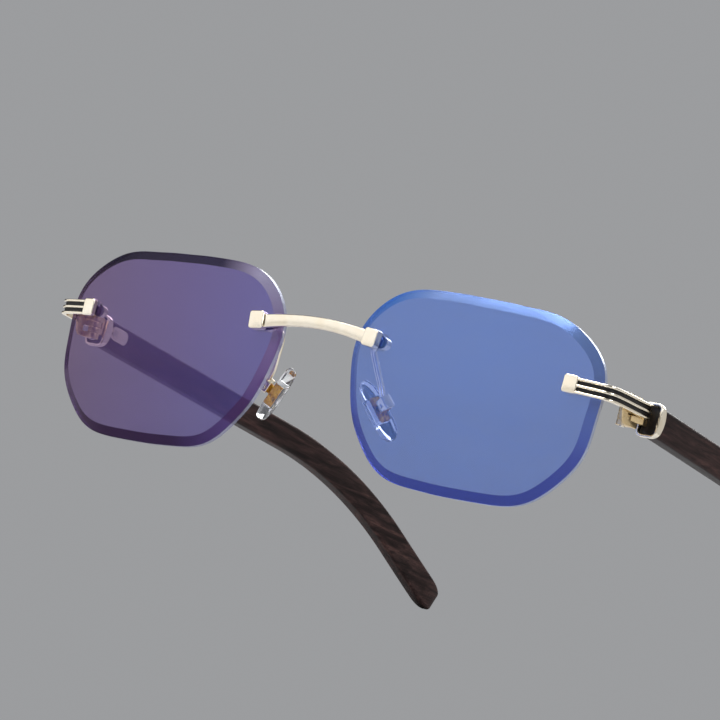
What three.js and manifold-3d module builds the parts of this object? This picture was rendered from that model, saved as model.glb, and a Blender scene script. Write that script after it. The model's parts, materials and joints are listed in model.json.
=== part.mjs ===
// Rimless eyeglasses, built as an assembly of separate pieces.
//
// Millimetres. Design frame of the front: X across the face, Y towards the
// temple tips, Z up, origin midway between the two lens centres. The right
// half (x > 0) is designed, the left half is its mirror image. At the end the
// whole group is turned a few degrees about X, so that the glasses stand on
// the lower edges of both lenses and on both temple tips, and moved so that
// the middle of the footprint is the origin.
import * as THREE from "three";
import { mergeVertices } from "three/addons/utils/BufferGeometryUtils.js";
import Module from "manifold-3d";

// ---------------------------------------------------------------- dimensions
const LENS_CENTRE_X = 35.74;        // half the distance between lens centres
const LENS_WRAP = 3.67;             // degrees each lens turns back at its outer side
const LENS_RADIUS = 200;            // front surface curve
const LENS_SET_BACK = 0.27;         // front surface behind the line of the lens centres
const LENS_THICK = 1.65;
const LENS_BEVEL = 1.8;             // width of the polished facet on the front
const LENS_BEVEL_DEPTH = 0.65;
const LENS_WIDTH_TRIM = 0.988;      // outline width after the edge is polished
const LENS_EDGE_BREAK = 0.15;       // safety chamfer of the rear edge
// one lens outline, (outward, up) from the lens centre, every 5 degrees
const OUTLINE = [[27.11,0],[27.33,2.39],[27.5,4.85],[27.32,7.32],[26.53,9.66],[25.12,11.71],[23.31,13.46],[21.33,14.93],[19.27,16.17],[17.13,17.13],[14.9,17.76],[12.66,18.08],[10.51,18.2],[8.52,18.27],[6.69,18.37],[4.95,18.49],[3.27,18.57],[1.63,18.61],[0,18.64],[-1.64,18.69],[-3.31,18.76],[-5.04,18.81],[-6.85,18.81],[-8.76,18.79],[-10.83,18.77],[-13.1,18.7],[-15.5,18.47],[-17.92,17.92],[-20.2,16.95],[-22.27,15.59],[-24.09,13.91],[-25.63,11.95],[-26.78,9.75],[-27.41,7.34],[-27.47,4.84],[-27.1,2.37],[-26.53,0],[-25.92,-2.27],[-25.27,-4.46],[-24.46,-6.55],[-23.42,-8.52],[-22.17,-10.34],[-20.82,-12.02],[-19.43,-13.61],[-17.96,-15.07],[-16.32,-16.32],[-14.5,-17.28],[-12.53,-17.89],[-10.52,-18.23],[-8.58,-18.4],[-6.74,-18.51],[-4.99,-18.62],[-3.3,-18.72],[-1.64,-18.79],[0,-18.82],[1.65,-18.82],[3.32,-18.81],[5.04,-18.8],[6.83,-18.77],[8.73,-18.73],[10.77,-18.65],[12.92,-18.44],[15.09,-17.99],[17.17,-17.17],[19.05,-15.98],[20.74,-14.52],[22.34,-12.9],[23.88,-11.14],[25.25,-9.19],[26.25,-7.03],[26.78,-4.72],[26.98,-2.36]].map(([u, v]) => [u * LENS_WIDTH_TRIM, v]);

// the two drilled mounting points of a lens, and the metal blocks on them
const NASAL = { u: -22.21, v: 7.67, front: 1.99, w: 3.16, h: 3.46, turn: 0.116 };
const TEMPORAL = { u: 21.13, v: 5.46, front: 1.26, w: 2.87, h: 3.40, turn: 0.033 };
const BLOCK_REAR = 0.22;            // the block's rear face, in front of the lens
const BLOCK_CORNER = 0.55;
const STUD_R = 0.55, CLEAR_R = 0.66, LENS_HOLE_R = 0.95, BUSHING_R = 0.88;
const SPACER_R = 1.12, WASHER_R = 1.2, NUT_R = 1.15;
const SOFT_GAP = 0.03;              // play between stacked pieces
const REAR_GAP = 0.1;               // behind the curved rear face of the lens

// bridge bar, front face
const BRIDGE = { yFront: -0.85, thick: 0.95, zMid: 9.0, zEnd: 7.65, hMid: 2.25, hEnd: 2.65, half: 12.6 };

// ribbed endpiece: (x, y, z) of the middle of its outer face
const ENDPIECE = [[57.98,1.8,5.35],[59.4,2.05,5.29],[61.5,2.48,5.2],[63.2,2.85,5.12],[64.1,3.15,5.08],[64.8,3.62,5.05],[65.3,4.35,5.02],[65.6,5.3,4.97],[65.78,6.6,4.9],[65.92,8.6,4.79],[66.05,11,4.64],[66.3,16.05,4.36]];
const RIB_PITCH = 1.22, RIB_H = 0.52, GROOVE_DEPTH = 0.45, ENDPIECE_THICK = 0.95;

// hinge
const HINGE_X = 63.0, HINGE_Y = 12.4, HINGE_Z0 = 0.75, KNUCKLE_H = 1.08, KNUCKLE_GAP = 0.075, BARREL_R = 1.2;
const HINGE_PIN_R = 0.5, HINGE_HOLE_R = 0.56;

// temple
const TEMPLE_X = 65.7, TEMPLE_Y = 14, TEMPLE_Z = 3.45, TEMPLE_DROP = 6.38;
const TEMPLE_HALF_T = 1.8, TEMPLE_HALF_H = 2.85;
const TEMPLE_START = 3.95, TEMPLE_END = 137.2;

// nose pad: centre of its pivot screw, long axis, and axis towards the nose
const PAD_PIVOT = [14.09, 7.18, -3.34];
const PAD_LONG = [0.585, 0.26, -0.765], PAD_NOSE = [-0.79, 0.40, -0.455];
const PAD_LEN = 12.7, PAD_WID = 4.6, PAD_THICK = 2.3, PAD_REACH = 2.85;

// ------------------------------------------------------------------- helpers
const wasm = await Module();
wasm.setup();

const rad = (d) => (d * Math.PI) / 180;
const V = (x, y, z) => new THREE.Vector3(x, y, z);

function bare(geo) {
  const g = geo.clone();
  for (const k of Object.keys(g.attributes)) if (k !== "position") g.deleteAttribute(k);
  return mergeVertices(g, 1e-5);
}
function facing(geo) {                       // turn the faces outwards
  const g = bare(geo), p = g.attributes.position, ix = g.index.array;
  let vol = 0;
  for (let i = 0; i < ix.length; i += 3) {
    const a = V().fromBufferAttribute(p, ix[i]), b = V().fromBufferAttribute(p, ix[i + 1]), c = V().fromBufferAttribute(p, ix[i + 2]);
    vol += a.dot(b.cross(c)) / 6;
  }
  if (vol < 0) for (let i = 0; i < ix.length; i += 3) { const t = ix[i + 1]; ix[i + 1] = ix[i + 2]; ix[i + 2] = t; }
  return g;
}
function solid(geo) {
  const g = facing(geo);
  return new wasm.Manifold(new wasm.Mesh({ numProp: 3, vertProperties: new Float32Array(g.attributes.position.array), triVerts: new Uint32Array(g.index.array) }));
}
function geometry(man) {
  const m = man.getMesh(), g = new THREE.BufferGeometry();
  g.setAttribute("position", new THREE.BufferAttribute(new Float32Array(m.vertProperties), 3));
  g.setIndex(new THREE.BufferAttribute(new Uint32Array(m.triVerts), 1));
  return g;
}
const join = (first, ...rest) => geometry(rest.reduce((s, g) => s.add(solid(g)), solid(first)));
const cut = (first, ...rest) => geometry(rest.reduce((s, g) => s.subtract(solid(g)), solid(first)));

// a solid through a row of closed sections with the same number of points
function loft(rings, cap) {
  const n = rings[0].length, pos = [], ix = [];
  for (const r of rings) for (const q of r) pos.push(q[0], q[1], q[2]);
  for (let k = 0; k + 1 < rings.length; k++)
    for (let i = 0; i < n; i++) {
      const a = k * n + i, b = k * n + ((i + 1) % n), c = a + n, d = b + n;
      ix.push(a, b, d, a, d, c);
    }
  const tris = THREE.ShapeUtils.triangulateShape(cap.map((q) => new THREE.Vector2(q[0], q[1])), []);
  const ccw = THREE.ShapeUtils.area(cap.map((q) => new THREE.Vector2(q[0], q[1]))) > 0;
  const last = (rings.length - 1) * n;
  for (const [a, b, c] of tris) {
    if (ccw) { ix.push(a, c, b); ix.push(last + a, last + b, last + c); }
    else { ix.push(a, b, c); ix.push(last + a, last + c, last + b); }
  }
  const g = new THREE.BufferGeometry();
  g.setAttribute("position", new THREE.BufferAttribute(new Float32Array(pos), 3));
  g.setIndex(ix);
  return g;
}
function block(w, h, r) {          // rounded rectangle outline
  const s = new THREE.Shape(), x = w / 2, y = h / 2;
  s.moveTo(-x + r, -y); s.lineTo(x - r, -y); s.absarc(x - r, -y + r, r, -Math.PI / 2, 0);
  s.lineTo(x, y - r); s.absarc(x - r, y - r, r, 0, Math.PI / 2);
  s.lineTo(-x + r, y); s.absarc(-x + r, y - r, r, Math.PI / 2, Math.PI);
  s.lineTo(-x, -y + r); s.absarc(-x + r, -y + r, r, Math.PI, 1.5 * Math.PI);
  return s;
}
function slab(shape, z0, z1, bevel = 0, segs = 3) {
  const g = new THREE.ExtrudeGeometry(shape, { depth: z1 - z0 - 2 * bevel, bevelEnabled: bevel > 0, bevelSize: bevel, bevelThickness: bevel, bevelOffset: -bevel, bevelSegments: 1, curveSegments: segs });
  g.translate(0, 0, z0 + bevel);
  return g;
}
function rod(r, z0, z1, segs = 16) {         // along Z
  const g = new THREE.CylinderGeometry(r, r, z1 - z0, segs, 1);
  g.rotateX(Math.PI / 2); g.translate(0, 0, (z0 + z1) / 2);
  return g;
}
function ring(ri, ro, z0, z1, segs = 16, ch = 0) {
  const pts = ch > 0
    ? [[ri, z0], [ro - ch, z0], [ro, z0 + ch], [ro, z1 - ch], [ro - ch, z1], [ri, z1], [ri, z0]]
    : [[ri, z0], [ro, z0], [ro, z1], [ri, z1], [ri, z0]];
  const g = new THREE.LatheGeometry(pts.map((q) => new THREE.Vector2(q[0], q[1])), segs);
  g.rotateX(Math.PI / 2);
  return g;
}
function turned(profile, segs = 16) {        // profile from axis to axis, along Z
  const g = new THREE.LatheGeometry(profile.map((q) => new THREE.Vector2(q[0], q[1])), segs);
  g.rotateX(-Math.PI / 2);
  g.scale(1, 1, -1);
  return g;
}
const box = (x0, x1, y0, y1, z0, z1) => { const g = new THREE.BoxGeometry(x1 - x0, y1 - y0, z1 - z0); g.translate((x0 + x1) / 2, (y0 + y1) / 2, (z0 + z1) / 2); return g; };
const frame = (o, ex, ey, ez) => new THREE.Matrix4().makeBasis(ex, ey, ez).setPosition(o);
const placed = (g, m) => { const c = g.clone(); c.applyMatrix4(m); return c; };

const glasses = new THREE.Group();
const FINISH = {
  gold: [0xe9cf8f, 0.16, 1], gold_dark: [0xcfae6a, 0.3, 1], lens: [0x5f78b8, 0.04, 0.0], wood: [0x3a2724, 0.55, 0],
  silicone: [0xe8edf0, 0.2, 0], plastic: [0xd8dde0, 0.3, 0], amber: [0xd89a2a, 0.35, 0.7], steel: [0xd7cfb9, 0.22, 1],
};
function add(name, geo, finish) {
  const [color, roughness, metalness] = FINISH[finish];
  const m = new THREE.Mesh(facing(geo), new THREE.MeshStandardMaterial({ color, roughness, metalness, flatShading: true }));
  m.name = name;
  glasses.add(m);
  return m;
}
function pair(name, geo, finish) {
  const right = facing(geo), left = right.clone(), p = left.attributes.position;
  for (let i = 0; i < p.count; i++) p.setX(i, -p.getX(i));
  add(name + "_right", right, finish);
  add(name + "_left", facing(left), finish);
}

// -------------------------------------------------------------- lens surfaces
const cw = Math.cos(rad(LENS_WRAP)), sw = Math.sin(rad(LENS_WRAP));
const fromLens = (u, v, w) => V(LENS_CENTRE_X + u * cw - w * sw, u * sw + w * cw, v);
const dirLens = (u, v, w) => V(u * cw - w * sw, u * sw + w * cw, v);
const sag = (u, v) => (u * u + v * v) / (2 * LENS_RADIUS) + LENS_SET_BACK;

function inward(outline, d) {
  const n = outline.length;
  return outline.map((q, i) => {
    const a = outline[(i + n - 1) % n], b = outline[(i + 1) % n];
    const tx = b[0] - a[0], ty = b[1] - a[1], l = Math.hypot(tx, ty);
    return [q[0] - (ty / l) * d, q[1] + (tx / l) * d];
  });
}
function lensBlank() {
  const n = OUTLINE.length, flat = inward(OUTLINE, LENS_BEVEL), rear = inward(OUTLINE, LENS_EDGE_BREAK);
  const rows = [];
  for (const f of [0.55, 1]) rows.push(flat.map(([u, v]) => fromLens(u * f, v * f, sag(u * f, v * f))));
  rows.push(OUTLINE.map(([u, v]) => fromLens(u, v, sag(u, v) + LENS_BEVEL_DEPTH)));
  rows.push(OUTLINE.map(([u, v]) => fromLens(u, v, sag(u, v) + LENS_THICK - LENS_EDGE_BREAK)));
  rows.push(rear.map(([u, v]) => fromLens(u, v, sag(u, v) + LENS_THICK)));
  for (const f of [0.55]) rows.push(rear.map(([u, v]) => fromLens(u * f, v * f, sag(u * f, v * f) + LENS_THICK)));
  const pos = [], ix = [];
  for (const r of rows) for (const q of r) pos.push(q.x, q.y, q.z);
  for (let k = 0; k + 1 < rows.length; k++) for (let i = 0; i < n; i++) {
    const a = k * n + i, b = k * n + ((i + 1) % n), c = a + n, d = b + n;
    ix.push(a, b, d, a, d, c);
  }
  const c0 = pos.length / 3, f = fromLens(0, 0, 0), r = fromLens(0, 0, LENS_THICK), last = (rows.length - 1) * n;
  pos.push(f.x, f.y, f.z, r.x, r.y, r.z);
  for (let i = 0; i < n; i++) {
    ix.push(c0, (i + 1) % n, i);
    ix.push(c0 + 1, last + i, last + ((i + 1) % n));
  }
  const g = new THREE.BufferGeometry();
  g.setAttribute("position", new THREE.BufferAttribute(new Float32Array(pos), 3));
  g.setIndex(ix);
  return g;
}

// A mounting point's own frame: X outward, Y up, Z towards the front; z = 0 is
// the lens's front surface, so pieces behind the lens have z < -LENS_THICK.
function mountFrame({ u, v, turn }) {
  const t1 = dirLens(1, 0, u / LENS_RADIUS).normalize();
  const n = dirLens(-u / LENS_RADIUS, -v / LENS_RADIUS, 1).normalize();
  const t2 = new THREE.Vector3().crossVectors(n.clone().negate(), t1).normalize();
  const ex = t1.clone().multiplyScalar(Math.cos(turn)).addScaledVector(t2, -Math.sin(turn));
  const ey = t1.clone().multiplyScalar(Math.sin(turn)).addScaledVector(t2, Math.cos(turn));
  return frame(fromLens(u, v, sag(u, v)), ex, ey, n.clone().negate());
}
const nasal = mountFrame(NASAL), temporal = mountFrame(TEMPORAL);

pair("lens", cut(lensBlank(),
  placed(rod(LENS_HOLE_R, -LENS_THICK - 1, 1), nasal),
  placed(rod(LENS_HOLE_R, -LENS_THICK - 1, 1), temporal)), "lens");

// -------------------------------------------- drilled mounts: four of a kind
const padPlateT = 0.7;
for (const [where, m, spec] of [["nasal", nasal, NASAL], ["temporal", temporal, TEMPORAL]]) {
  const extra = where === "nasal" ? padPlateT + SOFT_GAP : 0;
  const blind = where === "nasal" ? 1.2 : 0.72;
  const washer0 = -LENS_THICK - REAR_GAP, washer1 = washer0 - 0.3;
  const nut0 = washer1 - SOFT_GAP - extra, nut1 = nut0 - 1.5;
  pair(`mount_stud_${where}`, placed(turned([[0, nut0 - 1.05], [STUD_R - 0.12, nut0 - 1.05], [STUD_R, nut0 - 0.93], [STUD_R, blind - 0.12], [STUD_R - 0.12, blind], [0, blind]]), m), "steel");
  pair(`lens_bushing_${where}`, placed(ring(CLEAR_R, BUSHING_R, -LENS_THICK + 0.1, -0.1), m), "plastic");
  pair(`front_spacer_${where}`, placed(ring(CLEAR_R, SPACER_R, SOFT_GAP, BLOCK_REAR - SOFT_GAP), m), "plastic");
  pair(`rear_washer_${where}`, placed(ring(CLEAR_R, WASHER_R, washer1, washer0), m), "plastic");
  pair(`mount_nut_${where}`, placed(cut(
    turned([[0, nut1], [0.62, nut1 + 0.04], [0.95, nut1 + 0.22], [NUT_R, nut1 + 0.55], [NUT_R, nut0 - 0.1], [NUT_R - 0.1, nut0], [0, nut0]]),
    rod(0.62, nut0 - 1.15, nut0 + 0.2)), m), "steel");
}

// -------------------------------------------------------------------- bridge
function blockOn({ w, h, front }, hole) {
  return cut(slab(block(w, h, BLOCK_CORNER), BLOCK_REAR, front, 0.16), rod(0.62, 0, hole));
}
function bridgeBar() {
  const rings = [], N = 14;
  for (let k = 0; k <= N; k++) {
    const x = -BRIDGE.half + (2 * BRIDGE.half * k) / N, t = Math.abs(x) / BRIDGE.half;
    const zc = BRIDGE.zMid + (BRIDGE.zEnd - BRIDGE.zMid) * Math.pow(t, 1.9);
    const h = BRIDGE.hMid + (BRIDGE.hEnd - BRIDGE.hMid) * Math.pow(t, 2.2);
    const ch = 0.22, y0 = BRIDGE.yFront - 0.35 * t * t, y1 = y0 + BRIDGE.thick;
    rings.push([[x, y0, zc + h / 2 - ch], [x, y0, zc - h / 2 + ch], [x, y0 + ch, zc - h / 2], [x, y1 - ch, zc - h / 2], [x, y1, zc - h / 2 + ch], [x, y1, zc + h / 2 - ch], [x, y1 - ch, zc + h / 2], [x, y0 + ch, zc + h / 2]]);
  }
  return loft(rings, rings[0].map((q) => [q[1], q[2]]));
}
{
  const right = facing(placed(blockOn(NASAL, 1.32), nasal)), left = right.clone(), p = left.attributes.position;
  for (let i = 0; i < p.count; i++) p.setX(i, -p.getX(i));
  // the bar stops inside each block, in front of the stud's blind hole
  const bar = bridgeBar();
  add("bridge", join(right, left, bar), "gold");
}

// ----------------------------------------------------------------- endpieces
function ribbedArm() {
  const half = RIB_PITCH + RIB_H / 2, r = RIB_H / 2, d = GROOVE_DEPTH, c = 0.1;
  const prof = [];
  for (const k of [1, 0, -1]) {
    const z = k * RIB_PITCH;
    if (k < 1) prof.push([-d, z + r]);
    prof.push([-c, z + r], [0, z + r - c], [0, z - r + c], [-c, z - r]);
    if (k > -1) prof.push([-d, z - r]);
  }
  prof.push([-ENDPIECE_THICK, -half], [-ENDPIECE_THICK, half]);
  const rings = ENDPIECE.map((q, i) => {
    const a = ENDPIECE[Math.max(i - 1, 0)], b = ENDPIECE[Math.min(i + 1, ENDPIECE.length - 1)];
    let tx = b[0] - a[0], ty = b[1] - a[1]; const l = Math.hypot(tx, ty); tx /= l; ty /= l;
    if (i === ENDPIECE.length - 1) { tx = 0; ty = 1; }
    return prof.map(([o, z]) => [q[0] + ty * o, q[1] - tx * o, q[2] + z]);
  });
  return loft(rings, prof);
}
pair("endpiece", cut(join(placed(slab(block(TEMPORAL.w, TEMPORAL.h, BLOCK_CORNER), BLOCK_REAR, TEMPORAL.front, 0.16), temporal), ribbedArm()),
  placed(rod(0.62, 0, 0.85), temporal)), "gold");

// --------------------------------------------------------------------- hinge
const hingeAt = new THREE.Matrix4().makeTranslation(HINGE_X, HINGE_Y, 0);
const level = (i) => HINGE_Z0 + i * (KNUCKLE_H + KNUCKLE_GAP);
const hingeTop = level(4) + KNUCKLE_H;
function barrel(i) { return placed(rod(BARREL_R, level(i), level(i) + KNUCKLE_H, 20), hingeAt); }
const pinHole = placed(rod(HINGE_HOLE_R, HINGE_Z0 - 1, hingeTop + 1, 20), hingeAt);
{
  const plate = box(64.3, 64.88, HINGE_Y - 3.8, HINGE_Y + 2.1, HINGE_Z0, hingeTop);
  const pieces = [plate];
  for (const i of [0, 2, 4]) pieces.push(barrel(i), box(HINGE_X, 64.6, HINGE_Y - BARREL_R, HINGE_Y + BARREL_R, level(i), level(i) + KNUCKLE_H));
  pair("hinge_block", cut(join(...pieces), pinHole), "gold_dark");
}
pair("hinge_screw", placed(cut(turned([[0, HINGE_Z0 - 0.25], [HINGE_PIN_R - 0.1, HINGE_Z0 - 0.25], [HINGE_PIN_R, HINGE_Z0 - 0.15], [HINGE_PIN_R, hingeTop + 0.03], [0.95, hingeTop + 0.03], [0.95, hingeTop + 0.3], [0.8, hingeTop + 0.45], [0, hingeTop + 0.45]]),
  box(-1.2, 1.2, -0.13, 0.13, hingeTop + 0.22, hingeTop + 1)), hingeAt), "steel");

// temple frame: X across, Y along the temple, Z up
const drop = rad(TEMPLE_DROP);
const templeFrame = frame(V(TEMPLE_X, TEMPLE_Y, TEMPLE_Z), V(1, 0, 0), V(0, Math.cos(drop), -Math.sin(drop)), V(0, Math.sin(drop), Math.cos(drop)));
const PLATE0 = 3.4, PLATE1 = 3.9;           // end plate of the temple hinge
const SCREW_Y = 6.0, SCREW_Z = 0.6;         // temple screw, in the temple frame
{
  // leaf: from the barrel, outwards and back, to the end plate of the temple
  const z0 = level(1), z1 = level(3) + KNUCKLE_H;
  const leaf = new THREE.Shape([[62.2, 13.8], [63.6, 13.8], [64.95, 16.1], [64.95, 17.75], [64.02, 17.75], [64.02, 16.5]].map((q) => new THREE.Vector2(q[0], q[1])));
  const pieces = [slab(leaf, z0, z1)];
  for (const i of [1, 3]) pieces.push(barrel(i), box(HINGE_X - 0.75, HINGE_X + 0.6, HINGE_Y, 13.95, level(i), level(i) + KNUCKLE_H));
  pieces.push(placed(slab(block(3.48, 5.6, 0.75), -PLATE1, -PLATE0, 0, 2).rotateX(Math.PI / 2), templeFrame));
  pieces.push(placed(box(-0.45, 0.45, PLATE1 - 0.1, 22, -1.0, 1.9), templeFrame));
  let leafGeo = cut(join(...pieces), pinHole, placed(new THREE.CylinderGeometry(0.46, 0.46, 3, 14).rotateZ(Math.PI / 2).translate(0, SCREW_Y, SCREW_Z), templeFrame));
  pair("temple_hinge", leafGeo, "gold_dark");
}

// ferrule: a plain collar round the front end of the wood, rear edge domed
{
  const oct = (a, b, c) => [[a - c, -b], [a, -b + c], [a, b - c], [a - c, b], [-a + c, b], [-a, b - c], [-a, -b + c], [-a + c, -b]];
  const dense = (pts) => pts.flatMap((q, i) => { const n = pts[(i + 1) % pts.length]; return Math.abs(n[1] - q[1]) > 3 ? [q, [q[0], q[1] + (n[1] - q[1]) * 0.25], [q[0], q[1] + (n[1] - q[1]) * 0.5], [q[0], q[1] + (n[1] - q[1]) * 0.75]] : [q]; });
  const outer = dense(oct(2.32, 3.32, 0.9)), inner = dense(oct(TEMPLE_HALF_T + 0.05, TEMPLE_HALF_H + 0.05, 0.55));
  const n = outer.length, pos = [], ix = [];
  const rear = (z) => 4.75 - 1.2 * Math.pow(Math.abs(z) / 3.32, 2);
  const shrink = (p, k) => p.map(([x, z]) => [x * (1 - k / 2.32), z * (1 - k / 3.32)]);
  const rows = [
    shrink(outer, 0.15).map(([x, z]) => [x, 2.6, z]), outer.map(([x, z]) => [x, 2.75, z]),
    outer.map(([x, z]) => [x, rear(z) - 0.2, z]), shrink(outer, 0.22).map(([x, z]) => [x, rear(z), z]),
    inner.map(([x, z]) => [x, rear(z), z]), inner.map(([x, z]) => [x, 2.6, z]),
  ];
  for (const r of rows) for (const q of r) pos.push(...q);
  for (let k = 0; k < rows.length; k++) for (let i = 0; i < n; i++) {
    const kk = (k + 1) % rows.length, a = k * n + i, b = k * n + ((i + 1) % n), c = kk * n + i, d = kk * n + ((i + 1) % n);
    ix.push(a, b, d, a, d, c);
  }
  const g = new THREE.BufferGeometry();
  g.setAttribute("position", new THREE.BufferAttribute(new Float32Array(pos), 3));
  g.setIndex(ix);
  pair("ferrule", placed(g, templeFrame), "gold");
}

// ------------------------------------------------------------- wooden temples
function templeAngle(s) {                    // degrees below the front's level
  if (s < 71) return TEMPLE_DROP;
  if (s < 92) return TEMPLE_DROP + (10.1 * (s - 71)) / 21;
  if (s < 118) return TEMPLE_DROP + 10.1 + (14.5 * (s - 92)) / 26;
  return TEMPLE_DROP + 24.6;
}
function templeBlank() {
  const at = [];                             // centre line by short steps
  let y = TEMPLE_Y, z = TEMPLE_Z;
  for (let s = 0; s <= TEMPLE_END + 0.01; s += 0.05) {
    at.push([y, z]);
    const a = rad(templeAngle(s));
    y += 0.05 * Math.cos(a); z -= 0.05 * Math.sin(a);
  }
  const section = (s, k) => {
    const [cy, cz] = at[Math.round(s / 0.05)], a = rad(templeAngle(s));
    const cx = TEMPLE_X - (s > 60 ? 5 * Math.pow((s - 60) / 77, 2) : 0);
    const grow = s > 85 ? Math.min((s - 85) / 45, 1) : 0;
    const t = (TEMPLE_HALF_T - 0.25 * grow) * k, h = (TEMPLE_HALF_H + 0.35 * grow) * (0.35 + 0.65 * k), c = 0.55 * k;
    return [[t - c, -h], [t, -h + c], [t, h - c], [t - c, h], [-t + c, h], [-t, h - c], [-t, -h + c], [-t + c, -h]]
      .map(([x, q]) => [cx + x, cy + q * Math.sin(a), cz + q * Math.cos(a)]);
  };
  const E = TEMPLE_END;
  const st = [[TEMPLE_START, 1], [14, 1], [60, 1], [71, 1], [76, 1], [81, 1], [86, 1], [91, 1], [96, 1], [101, 1], [106, 1], [111, 1], [118, 1], [125, 1], [E - 3.2, 1], [E - 1.6, 0.9], [E - 0.6, 0.7], [E, 0.4]];
  const rings = st.map(([s, k]) => section(s, k));
  return loft(rings, rings[0].map((q) => [q[0], q[2]]));
}
{
  const mortise = placed(box(-0.5, 0.5, 2, 22.4, -1.07, 1.97), templeFrame);
  const across = new THREE.Matrix4().makeBasis(V(0, 1, 0), V(0, 0, 1), V(1, 0, 0)).setPosition(V(0, SCREW_Y, SCREW_Z));   // local X along the temple, Z outwards
  const inTemple = (g) => placed(placed(g, across), templeFrame);
  const pill = (grow, z0, z1) => { const g = slab(block(5.6 + 2 * grow, 2.8 + 2 * grow, 1.3 + grow), z0, z1, 0, 5); g.translate(1.75, 0, 0); return g; };
  pair("temple", cut(templeBlank(), mortise, inTemple(pill(0.05, -2.4, -1.38)), inTemple(rod(0.46, -2, 0.9, 14))), "wood");
  pair("temple_plate", inTemple(cut(pill(0, -1.84, -1.4), rod(0.46, -3, 0, 14))), "gold");
  const screw = turned([[0, -2.12], [0.66, -2.12], [0.76, -2.02], [0.76, -1.86], [0.4, -1.86], [0.4, 0.42], [0.3, 0.5], [0, 0.5]], 14);
  pair("temple_screw", inTemple(cut(screw, box(-1, 1, -0.12, 0.12, -3, -1.98))), "steel");
}

// ------------------------------------------------------------------ nose pads
// pad frame: X along the pad (down), Y across it (back), Z towards the nose
const L = V(...PAD_LONG).normalize(), Q = V(...PAD_NOSE);
Q.addScaledVector(L, -Q.dot(L)).normalize();
const W = new THREE.Vector3().crossVectors(Q, L).normalize();
const padFrame = frame(V(...PAD_PIVOT), L, W, Q);
const alongW = new THREE.Matrix4().makeBasis(V(1, 0, 0), V(0, 0, -1), V(0, 1, 0));   // local Z onto pad Y
{
  const outline = new THREE.Shape(), n = 24, pts = [];
  for (let i = 0; i < n; i++) {
    const t = (2 * Math.PI * i) / n, c = Math.cos(t), s = Math.sin(t);
    const x = (PAD_LEN / 2) * Math.sign(c) * Math.pow(Math.abs(c), 0.82);
    const w = (PAD_WID / 2) * (1 + 0.1 * c) * Math.sign(s) * Math.pow(Math.abs(s), 0.86);
    pts.push(new THREE.Vector2(x, w));
  }
  outline.setFromPoints(pts);
  const face = PAD_REACH - PAD_THICK / 2;
  const g = new THREE.ExtrudeGeometry(outline, { depth: PAD_THICK - 1.4, bevelEnabled: true, bevelSize: 0.6, bevelOffset: -0.6, bevelThickness: 0.7, bevelSegments: 2, curveSegments: 4 });
  g.translate(0, 0, face + 0.7);
  pair("nose_pad", placed(cut(g, box(-2.7, 2.7, -1.45, 1.45, face - 0.2, face + 0.85)), padFrame), "silicone");

  const tab = slab(block(1.7, 3.05, 0.5), -0.48, 0.48);                 // in X, Z; turned below
  const tabM = new THREE.Matrix4().makeBasis(V(1, 0, 0), V(0, 0, 1), V(0, -1, 0)).setPosition(V(0, 0, 0.67));
  const insert = join(placed(tab, tabM), slab(block(5.2, 2.7, 0.7), face + 0.08, face + 0.75, 0.1));
  pair("pad_insert", placed(cut(insert, placed(rod(0.46, -2, 2, 14), alongW)), padFrame), "amber");

  // clevis at the end of the pad arm
  const cl = cut(slab(block(2.6, 2.2, 0.35), -1.35, 0.85, 0.12), box(-0.82, 2, -0.53, 0.53, -1.0, 2));
  cl.translate(-0.2, 0, 0);
  const clevis = placed(cut(cl, placed(rod(0.46, -2, 2, 14), alongW)), padFrame);
  const screw = placed(cut(turned([[0, -1.62], [0.6, -1.62], [0.72, -1.5], [0.72, -1.14], [0.4, -1.14], [0.4, 1.22], [0.3, 1.32], [0, 1.32]], 14), box(-1, 1, -0.11, 0.11, -2, -1.45)), alongW);
  pair("pad_screw", placed(screw, padFrame), "steel");

  // foot plate behind the lens, then a flat arm down to the clevis
  const z1 = -LENS_THICK - REAR_GAP - SOFT_GAP - 0.3, z0 = z1 - padPlateT;
  const foot = new THREE.Shape();
  foot.absarc(0, 0, 1.25, -Math.PI / 2, Math.PI / 2); foot.lineTo(-2.5, 0.75); foot.lineTo(-2.85, 0.35); foot.lineTo(-2.85, -0.7); foot.closePath();
  const footGeo = placed(slab(foot, z0, z1, 0, 6), nasal);
  const start = V(-2.35, -0.1, (z0 + z1) / 2).applyMatrix4(nasal);
  const end = V(-1.3, 0, -0.35).applyMatrix4(padFrame);
  const curve = new THREE.CatmullRomCurve3([start, V(start.x - 0.1, start.y + 0.5, start.z - 0.75), V(10.95, 4.35, 5.6), V(11.85, 5.45, 2.6), V(12.8, 6.45, -0.2), end], false, "catmullrom", 0.5);
  const N = 10, rings = [];
  for (let k = 0; k <= N; k++) {
    const c = curve.getPoint(k / N), t = curve.getTangent(k / N);
    const side = new THREE.Vector3().crossVectors(V(0.15, 1, 0.1), t).normalize(), nrm = new THREE.Vector3().crossVectors(t, side).normalize();
    const hw = 0.55 - 0.12 * (k / N), ht = 0.34;
    rings.push([[hw, -ht + 0.12], [hw, ht - 0.12], [hw - 0.12, ht], [-hw + 0.12, ht], [-hw, ht - 0.12], [-hw, -ht + 0.12], [-hw + 0.12, -ht], [hw - 0.12, -ht]]
      .map(([a, b]) => { const q = c.clone().addScaledVector(side, a).addScaledVector(nrm, b); return [q.x, q.y, q.z]; }));
  }
  const strip = loft(rings, [[1, -1], [1, 1], [0.8, 1.2], [-0.8, 1.2], [-1, 1], [-1, -1], [-0.8, -1.2], [0.8, -1.2]]);
  pair("pad_arm", cut(join(footGeo, strip, clevis), placed(rod(CLEAR_R, -6, 0), nasal)), "gold");
}

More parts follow.
